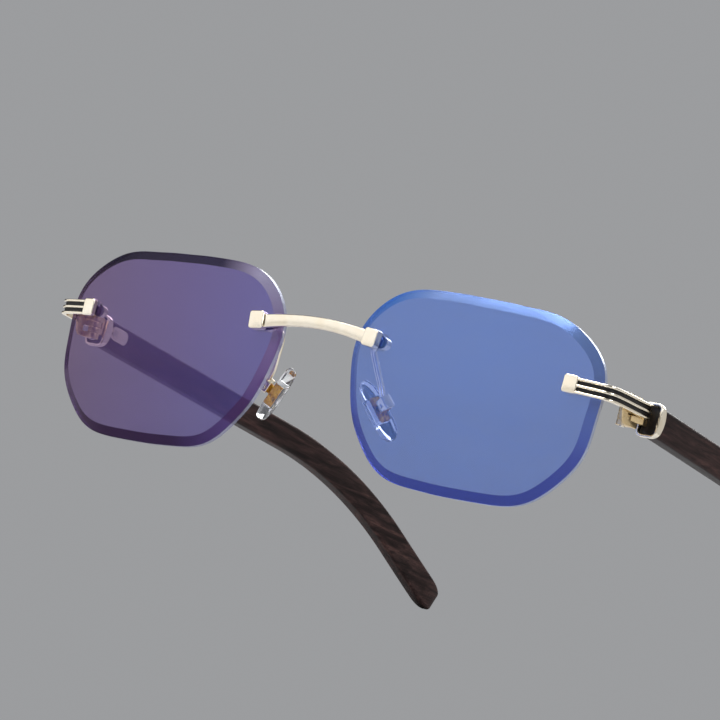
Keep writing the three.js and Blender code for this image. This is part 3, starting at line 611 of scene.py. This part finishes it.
def lens_shape():
    edge = closed_spline(OUTLINE, 4)
    flat, rear = inset(edge, LENS_BEVEL), inset(edge, LENS_EDGE_BREAK)
    rings, mats = [], []

    def put_ring(o, f, depth, mat):
        q = o * f
        rings.append(from_lens(q[:, 0], q[:, 1], sag(q[:, 0], q[:, 1]) + depth))
        mats.append(mat)

    for f in (0.04, 0.14, 0.26, 0.38, 0.5, 0.62, 0.74, 0.84, 0.92, 0.97):
        put_ring(flat, f, 0, 0)
    put_ring(flat, 1, 0, 1)
    q = 0.5 * (flat + edge)
    rings.append(from_lens(q[:, 0], q[:, 1], sag(q[:, 0], q[:, 1]) + LENS_BEVEL_DEPTH * 0.49))
    mats.append(1)
    put_ring(edge, 1, LENS_BEVEL_DEPTH, 2)
    put_ring(edge, 1, LENS_THICK - LENS_EDGE_BREAK, 2)
    put_ring(rear, 1, LENS_THICK, 3)
    for f in (0.97, 0.9, 0.78, 0.64, 0.5, 0.36, 0.22, 0.1, 0.04):
        put_ring(rear, f, LENS_THICK, 3)
    n, k = len(edge), len(rings)
    pts = list(np.concatenate(rings))
    faces, ms = [], []
    for j in range(k - 1):
        for i in range(n):
            ii = (i + 1) % n
            faces.append((j * n + i, j * n + ii, (j + 1) * n + ii, (j + 1) * n + i))
            ms.append(mats[j])
    c0 = len(pts)
    pts += [from_lens(0, 0, LENS_SET_BACK), from_lens(0, 0, LENS_SET_BACK + LENS_THICK)]
    for i in range(n):
        faces.append((c0, (i + 1) % n, i))
        ms.append(0)
        faces.append((c0 + 1, (k - 1) * n + i, (k - 1) * n + (i + 1) % n))
        ms.append(3)
    return np.array(pts), faces, ms


def mount_frame(s):
    u, v = s["u"], s["v"]
    t1 = unit(dir_lens(1, 0, u / LENS_RADIUS))
    n = unit(dir_lens(-u / LENS_RADIUS, -v / LENS_RADIUS, 1))
    t2 = unit(np.cross(-n, t1))
    a = s["turn"]
    return affine(from_lens(u, v, sag(u, v)), t1 * math.cos(a) - t2 * math.sin(a), t1 * math.sin(a) + t2 * math.cos(a), -n)


nasal, temporal = mount_frame(NASAL), mount_frame(TEMPORAL)

both("lens", lens_shape(), [LENS_FRONT, LENS_FACET, LENS_EDGE, LENS_REAR],
     cuts=[put(rod(LENS_HOLE_R, -LENS_THICK - 1, 1), nasal), put(rod(LENS_HOLE_R, -LENS_THICK - 1, 1), temporal)], sharp=9)

# -------------------------------------------- drilled mounts: four of a kind
PAD_PLATE_T = 0.7
for where, m in (("nasal", nasal), ("temporal", temporal)):
    extra = PAD_PLATE_T + SOFT_GAP if where == "nasal" else 0
    blind = 1.2 if where == "nasal" else 0.72
    w0 = -LENS_THICK - REAR_GAP
    w1 = w0 - 0.3
    n0 = w1 - SOFT_GAP - extra
    n1 = n0 - 1.5
    both(f"mount_stud_{where}", put(turned(soft_profile([(0, n0 - 1.05), (STUD_R, n0 - 1.05), (STUD_R, blind), (0, blind)], 0.12), 36), m), STEEL)
    both(f"lens_bushing_{where}", put(washer(CLEAR_R, BUSHING_R, -LENS_THICK + 0.1, -0.1), m), NYLON)
    both(f"front_spacer_{where}", put(washer(CLEAR_R, SPACER_R, SOFT_GAP, BLOCK_REAR - SOFT_GAP), m), NYLON)
    both(f"rear_washer_{where}", put(washer(CLEAR_R, WASHER_R, w1, w0, 0.09), m), NYLON)
    dome = [(0, n1), (0.62, n1 + 0.04), (0.95, n1 + 0.22), (NUT_R, n1 + 0.55), (NUT_R, n0 - 0.05), (NUT_R - 0.05, n0), (0, n0)]
    both(f"mount_nut_{where}", put(turned(soft_profile(dome, 0.14)), m), STEEL,
         cuts=[put(rod(0.62, n0 - 1.15, n0 + 0.2), m)])


# -------------------------------------------------------------------- bridge
def block_on(s):
    return slab(rect(s["w"], s["h"], BLOCK_CORNER, 8), BLOCK_REAR, s["front"], 0.2, 5)


def bridge_bar():
    rings = []
    for x in np.linspace(-BRIDGE["half"], BRIDGE["half"], 57):
        t = abs(x) / BRIDGE["half"]
        zc = BRIDGE["zMid"] + (BRIDGE["zEnd"] - BRIDGE["zMid"]) * t ** 1.9
        h = BRIDGE["hMid"] + (BRIDGE["hEnd"] - BRIDGE["hMid"]) * t ** 2.2
        y0 = BRIDGE["yFront"] - 0.35 * t * t
        q = fillet([(y0, zc - h / 2), (y0 + BRIDGE["thick"], zc - h / 2), (y0 + BRIDGE["thick"], zc + h / 2), (y0, zc + h / 2)], 0.3, 6)
        rings.append(np.c_[np.full(len(q), x), q])
    return tube(rings)


nasal_block = put(block_on(NASAL), nasal)
piece("bridge", bridge_bar(), GOLD, joins=[nasal_block, mirrored(nasal_block)],
      cuts=[put(rod(0.62, 0, 1.32), nasal), mirrored(put(rod(0.62, 0, 1.32), nasal))])


# ----------------------------------------------------------------- endpieces
def ribbed_arm():
    half, r, d = RIB_PITCH + RIB_H / 2, RIB_H / 2, GROOVE_DEPTH
    corners, radii = [], []
    for k in (1, 0, -1):
        z = k * RIB_PITCH
        if k < 1:
            corners.append((-d, z + r)); radii.append(0.08)
        corners += [(0, z + r), (0, z - r)]
        radii += [0.19, 0.19]
        if k > -1:
            corners.append((-d, z - r)); radii.append(0.08)
    corners += [(-ENDPIECE_THICK, -half), (-ENDPIECE_THICK, half)]
    radii += [0.2, 0.2]
    prof = fillet(corners, radii, 4)
    path, _ = smooth_path(ENDPIECE, 6)
    rings = []
    for i, c in enumerate(path):
        a, b = path[max(i - 1, 0)], path[min(i + 1, len(path) - 1)]
        tx, ty = b[0] - a[0], b[1] - a[1]
        l = math.hypot(tx, ty)
        tx, ty = tx / l, ty / l
        if i == len(path) - 1:
            tx, ty = 0, 1
        rings.append(np.stack([c[0] + ty * prof[:, 0], c[1] - tx * prof[:, 0], c[2] + prof[:, 1]], 1))
    n = len(prof)

    # groove floors take the near-black painted shade
    def mat(j, i):
        m = 0.5 * (prof[i] + prof[(i + 1) % n])
        return 1 if -0.6 < m[0] < -0.2 and abs(m[1]) < half - 0.1 else 0

    return tube(rings, mats=mat)


both("endpiece", ribbed_arm(), [GOLD, PAINTED_GROOVE_SHADE], joins=[put(block_on(TEMPORAL), temporal)], cuts=[put(rod(0.62, 0, 0.85), temporal)])

# --------------------------------------------------------------------- hinge
HINGE_TOP = HINGE_Z0 + 4 * (KNUCKLE_H + KNUCKLE_GAP) + KNUCKLE_H
hinge_at = affine((HINGE_X, HINGE_Y, 0), (1, 0, 0), (0, 1, 0), (0, 0, 1))
screw = soft_profile([(0, HINGE_Z0 - 0.25), (HINGE_PIN_R, HINGE_Z0 - 0.25), (HINGE_PIN_R, HINGE_TOP + 0.03), (0.95, HINGE_TOP + 0.03), (0.95, HINGE_TOP + 0.45), (0, HINGE_TOP + 0.45)], 0.1)
both("hinge_screw", put(turned(screw), hinge_at), STEEL, cuts=[put(brick(-1.2, 1.2, -0.13, 0.13, HINGE_TOP + 0.22, HINGE_TOP + 1), hinge_at)])


def level(i):
    return HINGE_Z0 + i * (KNUCKLE_H + KNUCKLE_GAP)


def knuckle(i, grow=0.0):
    t = np.linspace(0, 2 * math.pi, 48, endpoint=False)
    return slab(np.stack([HINGE_X + (1.2 + grow) * np.cos(t), HINGE_Y + (1.2 + grow) * np.sin(t)], 1), level(i), level(i) + KNUCKLE_H, 0.1, 3)


pin_hole = put(rod(0.56, HINGE_Z0 - 1, HINGE_TOP + 1), hinge_at)


def leaf_plan(i):
    """One leaf of the hinge block: round at the pin, square at the plate."""
    t = np.linspace(math.pi / 2, 1.5 * math.pi, 20)
    arc = [(HINGE_X + 1.2 * math.cos(a), HINGE_Y + 1.2 * math.sin(a)) for a in t]
    return slab(np.array(arc + [(64.7, HINGE_Y - 1.2), (64.7, HINGE_Y + 1.2)]), level(i), level(i) + KNUCKLE_H, 0.1, 3)


side = [(8.6, 3.1), (9.2, 1.4), (9.9, HINGE_Z0), (14.5, HINGE_Z0), (14.5, HINGE_TOP), (8.6, HINGE_TOP)]   # (y, z) outline of the plate
plate = put(slab(fillet(side, 0.3, 5), 64.3, 64.88, 0.1, 3), affine((0, 0, 0), (0, 1, 0), (0, 0, 1), (1, 0, 0)))
windows = [brick(64.0, 65.2, 10.5, 15.0, level(i) - KNUCKLE_GAP, level(i) + KNUCKLE_H + KNUCKLE_GAP) for i in (1, 3)]
both("hinge_block", plate, GOLD_SATIN, joins=[leaf_plan(i) for i in (0, 2, 4)], cuts=windows + [pin_hole], sharp=32)

# ------------------------------------------------------------------- temples
drop = math.radians(TEMPLE_DROP)
temple_frame = affine((TEMPLE_X, TEMPLE_Y, TEMPLE_Z), (1, 0, 0), (0, math.cos(drop), -math.sin(drop)), (0, math.sin(drop), math.cos(drop)))


def ferrule_shape():
    outer = fillet([(-2.32, -3.32), (2.32, -3.32), (2.32, 3.32), (-2.32, 3.32)], 1.25, 8)
    inner = fillet([(-1.85, -2.9), (1.85, -2.9), (1.85, 2.9), (-1.85, 2.9)], 0.75, 8)

    def dense(o):
        out = []
        for i in range(len(o)):
            a, b = o[i], o[(i + 1) % len(o)]
            k = 10 if np.linalg.norm(b - a) > 1.2 else 1
            out += [a + (b - a) * j / k for j in range(k)]
        return np.array(out)

    outer, inner = dense(outer), dense(inner)
    rear = lambda z: 4.75 - 1.2 * (np.abs(z) / 3.32) ** 2
    rings = []
    for k in range(4):
        a = math.pi / 2 * k / 3
        q = inset(outer, 0.16 * (1 - math.sin(a)))
        rings.append(np.c_[q[:, 0], np.full(len(q), 2.6 + 0.16 * (1 - math.cos(a))), q[:, 1]])
    for k in range(5, -1, -1):
        a = math.pi / 2 * k / 5
        q = inset(outer, 0.24 * (1 - math.sin(a)))
        rings.append(np.c_[q[:, 0], rear(q[:, 1]) - 0.24 * (1 - math.cos(a)) * 1.0, q[:, 1]])
    rings.append(np.c_[inner[:, 0], rear(inner[:, 1]), inner[:, 1]])
    rings.append(np.c_[inner[:, 0], np.full(len(inner), 2.6), inner[:, 1]])
    return tube(rings, closed=True)


both("ferrule", put(ferrule_shape(), temple_frame), GOLD)


across = affine((0, SCREW_Y, SCREW_Z), (0, 1, 0), (0, 0, 1), (1, 0, 0))


def in_temple(s):
    return put(s, across, temple_frame)


def temple_hinge():
    """Leaf from the barrel to the recessed end plate, painted near-black as shade, and the tang that runs into the
    wood.
    """
    z0, z1 = level(1), level(3) + KNUCKLE_H
    plan = fillet([(62.2, 13.8), (63.6, 13.8), (64.95, 16.1), (64.95, 17.75), (64.02, 17.75), (64.02, 16.5)], [0.1, 0.3, 0.3, 0.05, 0.05, 0.3], 4)
    leaf = slab(plan, z0, z1, 0.1, 3)
    joins = [knuckle(i) for i in (1, 3)]
    joins += [slab(np.array([(HINGE_X - 0.75, HINGE_Y), (HINGE_X + 0.6, HINGE_Y), (HINGE_X + 0.6, 14.0), (HINGE_X - 0.75, 14.0)]), level(i), level(i) + KNUCKLE_H, 0.04, 2) for i in (1, 3)]
    end = slab(rect(3.48, 5.6, 0.75, 8), -3.9, -3.4, 0.05, 3)
    m0, m1 = affine((0, 0, 0), (1, 0, 0), (0, 0, 1), (0, -1, 0)), temple_frame
    # the end plate takes the near-black painted shade
    end = put((end[0], end[1], [1] * len(end[2])), m0, m1)
    tang = put(brick(-0.45, 0.45, 3.8, 22, -1.0, 1.9), temple_frame)
    hole = in_temple(rod(0.46, -1.5, 1.5))
    both("temple_hinge", leaf, [GOLD_SATIN, PAINTED_GROOVE_SHADE], joins=joins + [end, tang], cuts=[pin_hole, hole], sharp=32)


temple_hinge()



def temple_angle(s):
    if s < 71:
        return TEMPLE_DROP
    if s < 92:
        return TEMPLE_DROP + 10.1 * (s - 71) / 21
    if s < 118:
        return TEMPLE_DROP + 10.1 + 14.5 * (s - 92) / 26
    return TEMPLE_DROP + 24.6


def temple_blank():
    at, y, z = [], TEMPLE_Y, TEMPLE_Z
    for k in range(int(TEMPLE_END / 0.05) + 2):
        at.append((y, z))
        a = math.radians(temple_angle(k * 0.05))
        y, z = y + 0.05 * math.cos(a), z - 0.05 * math.sin(a)

    def section(s, k):
        cy, cz = at[int(round(s / 0.05))]
        a = math.radians(temple_angle(s))
        cx = TEMPLE_X - (5 * ((s - 60) / 77) ** 2 if s > 60 else 0)
        grow = min((s - 85) / 45, 1) if s > 85 else 0
        t, h = (TEMPLE_HALF_T - 0.25 * grow) * k, (TEMPLE_HALF_H + 0.35 * grow) * (0.35 + 0.65 * k)
        q = fillet([(-t, -h), (t, -h), (t, h), (-t, h)], 0.72 * min(1, k * 1.2), 6)
        return np.stack([cx + q[:, 0], cy + q[:, 1] * math.sin(a), cz + q[:, 1] * math.cos(a)], 1)

    st = [(s, 1) for s in np.r_[[TEMPLE_START, 5, 6.5], np.arange(8, 132, 1.5)]]
    for s in (132.6, 133.6, 134.4, 135.1, 135.7, 136.2, 136.6, 136.9, 137.1, 137.2):
        f = (s - 132) / 5.2
        st.append((s, max(0.4, math.sqrt(max(0, 1 - f ** 2.6)) * 0.6 + 0.4)))
    return tube([section(s, k) for s, k in st])


def pill(grow, z0, z1, bevel=0.0):
    o = rect(5.6 + 2 * grow, 2.8 + 2 * grow, 1.3 + grow, 10) + [1.75, 0]
    return slab(o, z0, z1, max(bevel, 0.001), 3)


mortise = put(brick(-0.5, 0.5, 2, 22.4, -1.07, 1.97), temple_frame)
both("temple", temple_blank(), WOOD, cuts=[mortise, in_temple(pill(0.05, -2.4, -1.38)), in_temple(rod(0.46, -2, 0.9))])
both("temple_plate", in_temple(pill(0, -1.84, -1.4, 0.09)), GOLD, cuts=[in_temple(rod(0.46, -3, 0))])
ts = soft_profile([(0, -2.12), (0.76, -2.12), (0.76, -1.86), (0.4, -1.86), (0.4, 0.5), (0, 0.5)], 0.09)
both("temple_screw", in_temple(turned(ts)), STEEL, cuts=[in_temple(brick(-1, 1, -0.12, 0.12, -3, -1.98))])

# ------------------------------------------------------------------ nose pads
L = unit(PAD_LONG)
Q = unit(PAD_NOSE - L * float(PAD_NOSE @ L))
W = unit(np.cross(Q, L))
pad_frame = affine(PAD_PIVOT, L, W, Q)
along_w = affine((0, 0, 0), (1, 0, 0), (0, 0, -1), (0, 1, 0))
FACE = PAD_REACH - PAD_THICK / 2


def pad_shape():
    t = np.linspace(0, 2 * math.pi, 96, endpoint=False)
    c, s = np.cos(t), np.sin(t)
    o = np.stack([PAD_LEN / 2 * np.sign(c) * np.abs(c) ** 0.82, PAD_WID / 2 * (1 + 0.1 * c) * np.sign(s) * np.abs(s) ** 0.86], 1)
    for _ in range(3):
        o = 0.25 * np.roll(o, 1, 0) + 0.5 * o + 0.25 * np.roll(o, -1, 0)
    rings = []
    top = FACE + PAD_THICK
    # arm side: flat rim with a rounded corner; nose side: a low dome into a full round
    for f in (0.6, 0.85):
        q = inset(o, 0.6) * f
        rings.append(np.c_[q, np.full(len(q), FACE)])
    for k in range(9):
        a = math.pi / 2 * k / 8
        q = inset(o, 0.6 * (1 - math.sin(a)))
        rings.append(np.c_[q, np.full(len(q), FACE + 0.7 * (1 - math.cos(a)))])
    for k in range(9, -1, -1):
        a = math.pi / 2 * k / 9
        q = inset(o, 1.0 * (1 - math.sin(a)))
        rings.append(np.c_[q, np.full(len(q), top - 0.25 - 1.0 * (1 - math.cos(a)))])
    base = inset(o, 1.0)
    for f in (0.9, 0.75, 0.55, 0.35, 0.15):
        rings.append(np.c_[base * f, np.full(len(o), top - 0.25 * f * f)])
    return tube(rings)


both("nose_pad", put(pad_shape(), pad_frame), SILICONE,
     cuts=[put(slab(rect(5.4, 2.9, 0.6), FACE - 0.2, FACE + 1.62, 0.1), pad_frame)], sharp=40)

tab = put(slab(rect(1.7, 3.05, 0.5), -0.48, 0.48, 0.08), affine((0, 0, 0.67), (1, 0, 0), (0, 0, 1), (0, -1, 0)))
both("pad_insert", put(slab(rect(5.2, 2.7, 0.7), FACE + 0.08, FACE + 1.5, 0.16), pad_frame), INSERT,
     joins=[put(tab, pad_frame)], cuts=[put(rod(0.46, -2, 2), along_w, pad_frame)])

ps = soft_profile([(0, -1.62), (0.72, -1.62), (0.72, -1.14), (0.4, -1.14), (0.4, 1.32), (0, 1.32)], 0.11)
both("pad_screw", put(turned(ps), along_w, pad_frame), STEEL, cuts=[put(brick(-1, 1, -0.11, 0.11, -2, -1.45), along_w, pad_frame)])


def pad_arm():
    z1 = -LENS_THICK - REAR_GAP - SOFT_GAP - 0.3
    z0 = z1 - PAD_PLATE_T
    a = np.linspace(-math.pi / 2, math.pi / 2, 24)
    foot = [(1.25 * math.cos(t), 1.25 * math.sin(t)) for t in a] + [(-2.5, 0.75), (-2.7, 0.62), (-2.82, 0.4), (-2.85, 0.2), (-2.85, -0.45), (-2.8, -0.65), (-2.6, -0.8)]
    foot_s = put(slab(np.array(foot), z0, z1, 0.1, 3), nasal)
    start = nasal[:3, :3] @ np.array([-2.35, -0.1, (z0 + z1) / 2]) + nasal[:3, 3]
    end = pad_frame[:3, :3] @ np.array([-1.3, 0, -0.35]) + pad_frame[:3, 3]
    path, tan = smooth_path([start, start + [-0.1, 0.5, -0.75], (10.95, 4.35, 5.6), (11.85, 5.45, 2.6), (12.8, 6.45, -0.2), end], 9)
    rings = []
    for k, (c, t) in enumerate(zip(path, tan)):
        f = k / (len(path) - 1)
        side = unit(np.cross((0.15, 1, 0.1), t))
        nrm = unit(np.cross(t, side))
        hw, ht = 0.62 - 0.12 * f, 0.40
        q = fillet([(-hw, -ht), (-0.16, -ht), (-0.1, -ht + 0.13), (0.1, -ht + 0.13), (0.16, -ht), (hw, -ht), (hw, ht), (0.16, ht), (0.1, ht - 0.13), (-0.1, ht - 0.13), (-0.16, ht), (-hw, ht)],
                   [0.14, 0.03, 0.03, 0.03, 0.03, 0.14, 0.14, 0.03, 0.03, 0.03, 0.03, 0.14], 3)
        rings.append(c + q[:, :1] * side + q[:, 1:] * nrm)
    strip = tube(rings)
    body = put(slab(rect(2.6, 2.2, 0.4), -1.35, 0.85, 0.14), affine((-0.2, 0, 0), (1, 0, 0), (0, 1, 0), (0, 0, 1)), pad_frame)
    slot = put(brick(-1.02, 1.8, -0.53, 0.53, -1.0, 2), pad_frame)
    both("pad_arm", strip, GOLD, joins=[foot_s, body],
         cuts=[slot, put(rod(0.46, -2, 2), along_w, pad_frame), put(rod(CLEAR_R, -6, 0), nasal)])


pad_arm()


# ---------------------------------------------------------------- the studio
def stage_material(name, colour, one_sided):
    g = Nodes(name)
    n = g.noise(g.coords(), 6, 3)
    base = g.ramp(n, [(0.3, tuple(c * 0.97 for c in colour)), (0.7, colour)])
    p = g.principled(Base_Color=base, Roughness=0.85)
    if one_sided:
        geo = g.n("ShaderNodeNewGeometry")
        tr = g.n("ShaderNodeBsdfTransparent")
        mx = g.n("ShaderNodeMixShader")
        g.link(geo.outputs["Backfacing"], mx.inputs[0])
        g.link(p.outputs[0], mx.inputs[1])
        g.link(tr.outputs[0], mx.inputs[2])
        g.link(mx.outputs[0], g.out.inputs["Surface"])
    else:
        g.link(p.outputs[0], g.out.inputs["Surface"])
    return g.m


def sheet_at(name, size, z, mat):
    me = bpy.data.meshes.new(name)
    me.from_pydata([(-size, -size, z), (size, -size, z), (size, size, z), (-size, size, z)], [], [(0, 1, 2, 3)])
    me.materials.append(mat)
    ob = bpy.data.objects.new(name, me)
    scene.collection.objects.link(ob)
    return ob


floor = sheet_at("floor", 4.0, -0.0002, stage_material("floor_paper", (0.50, 0.50, 0.505), True))

world = bpy.data.worlds.new("studio")
scene.world = world
world.use_nodes = True
wt = world.node_tree
wt.nodes.clear()
out = wt.nodes.new("ShaderNodeOutputWorld")
bg_seen = wt.nodes.new("ShaderNodeBackground")
bg_light = wt.nodes.new("ShaderNodeBackground")
mixw = wt.nodes.new("ShaderNodeMixShader")
lp = wt.nodes.new("ShaderNodeLightPath")
tcw = wt.nodes.new("ShaderNodeTexCoord")


def lobe(direction, lo, hi, value):
    """A broad bright wall in one direction, fading out smoothly."""
    d = wt.nodes.new("ShaderNodeVectorMath")
    d.operation = "DOT_PRODUCT"
    wt.links.new(tcw.outputs["Generated"], d.inputs[0])
    d.inputs[1].default_value = tuple(unit(direction))
    r = wt.nodes.new("ShaderNodeMapRange")
    r.interpolation_type = "SMOOTHSTEP"
    r.inputs["From Min"].default_value, r.inputs["From Max"].default_value = lo, hi
    r.inputs["To Min"].default_value, r.inputs["To Max"].default_value = 0, value
    wt.links.new(d.outputs["Value"], r.inputs["Value"])
    return r.outputs["Result"]


def plus(a, b):
    o = wt.nodes.new("ShaderNodeMath")
    o.operation = "ADD"
    for i, v in enumerate((a, b)):
        if isinstance(v, float):
            o.inputs[i].default_value = v
        else:
            wt.links.new(v, o.inputs[i])
    return o.outputs[0]


total = plus(lobe((-0.60, -0.80, 0.08), 0.60, 0.90, 0.97), 0.09)
total = plus(total, lobe((0.1, 0.0, 1.0), 0.60, 0.95, 0.30))
total = plus(total, lobe((0.5, 0.85, 0.35), 0.6, 0.95, 0.45))
total = plus(total, lobe((0.95, -0.25, 0.25), 0.8, 0.97, 0.35))
tintw = wt.nodes.new("ShaderNodeMix")
tintw.data_type = "RGBA"
tintw.blend_type = "MULTIPLY"
tintw.inputs[0].default_value = 1
tintw.inputs[6].default_value = (0.99, 0.99, 1.0, 1)
wt.links.new(total, tintw.inputs[7])
wt.links.new(tintw.outputs[2], bg_light.inputs["Color"])
bg_light.inputs["Strength"].default_value = 1.0
bg_seen.inputs["Color"].default_value = (0.33, 0.335, 0.345, 1)
bg_seen.inputs["Strength"].default_value = 1.0
wt.links.new(lp.outputs["Is Camera Ray"], mixw.inputs[0])
wt.links.new(bg_light.outputs[0], mixw.inputs[1])
wt.links.new(bg_seen.outputs[0], mixw.inputs[2])
wt.links.new(mixw.outputs[0], out.inputs["Surface"])


def softbox(name, where, at, size, power, colour=(1, 1, 1)):
    li = bpy.data.lights.new(name, "AREA")
    li.shape, li.size, li.size_y, li.energy, li.color = "RECTANGLE", size[0], size[1], power, colour
    ob = bpy.data.objects.new(name, li)
    scene.collection.objects.link(ob)
    ob.visible_camera = False
    ob.location = where
    ob.rotation_euler = (Vector(at) - Vector(where)).to_track_quat("-Z", "Y").to_euler()
    return ob


softbox("key", (-0.25, -0.55, 0.95), (0, -0.02, 0.02), (0.7, 0.5), 12)
softbox("fill", (0.95, -0.35, 0.55), (0, -0.02, 0.02), (0.5, 0.5), 5, (0.95, 0.97, 1.0))
softbox("back", (-0.3, 0.95, 0.8), (0, 0, 0.02), (0.9, 0.5), 8)

# ---------------------------------------------------------------- the camera
right = np.array([0.7924, 0.5641, 0.2320])
a_, e_ = math.radians(36.780), math.radians(-5.567)
back = np.array([math.sin(a_) * math.cos(e_), -math.cos(a_) * math.cos(e_), math.sin(e_)])
right = unit(right - back * float(right @ back))
up = np.cross(back, right)
eye = row([(497.99, -666.16, -81.07)])[0]
look = unit(-back + 0.011764 * right + 0.0022019 * up)
zb = -look
yb = unit(up - zb * float(up @ zb))
xb = np.cross(yb, zb)
axes = turn(np.stack([xb, yb, zb]))
cam_data = bpy.data.cameras.new("camera")
cam_data.sensor_fit, cam_data.sensor_width, cam_data.lens = "HORIZONTAL", 36.0, 4453.415 / 720 * 36
cam_data.clip_start, cam_data.clip_end = 0.05, 20
cam_data.dof.use_dof = False
cam = bpy.data.objects.new("camera", cam_data)
scene.collection.objects.link(cam)
m = Matrix.Identity(4)
for i in range(3):
    for j in range(3):
        m[j][i] = float(axes[i][j])
    m[i][3] = float(eye[i])
cam.matrix_world = m
scene.camera = cam
scene.view_settings.view_transform = "Standard"

bpy.context.view_layer.update()
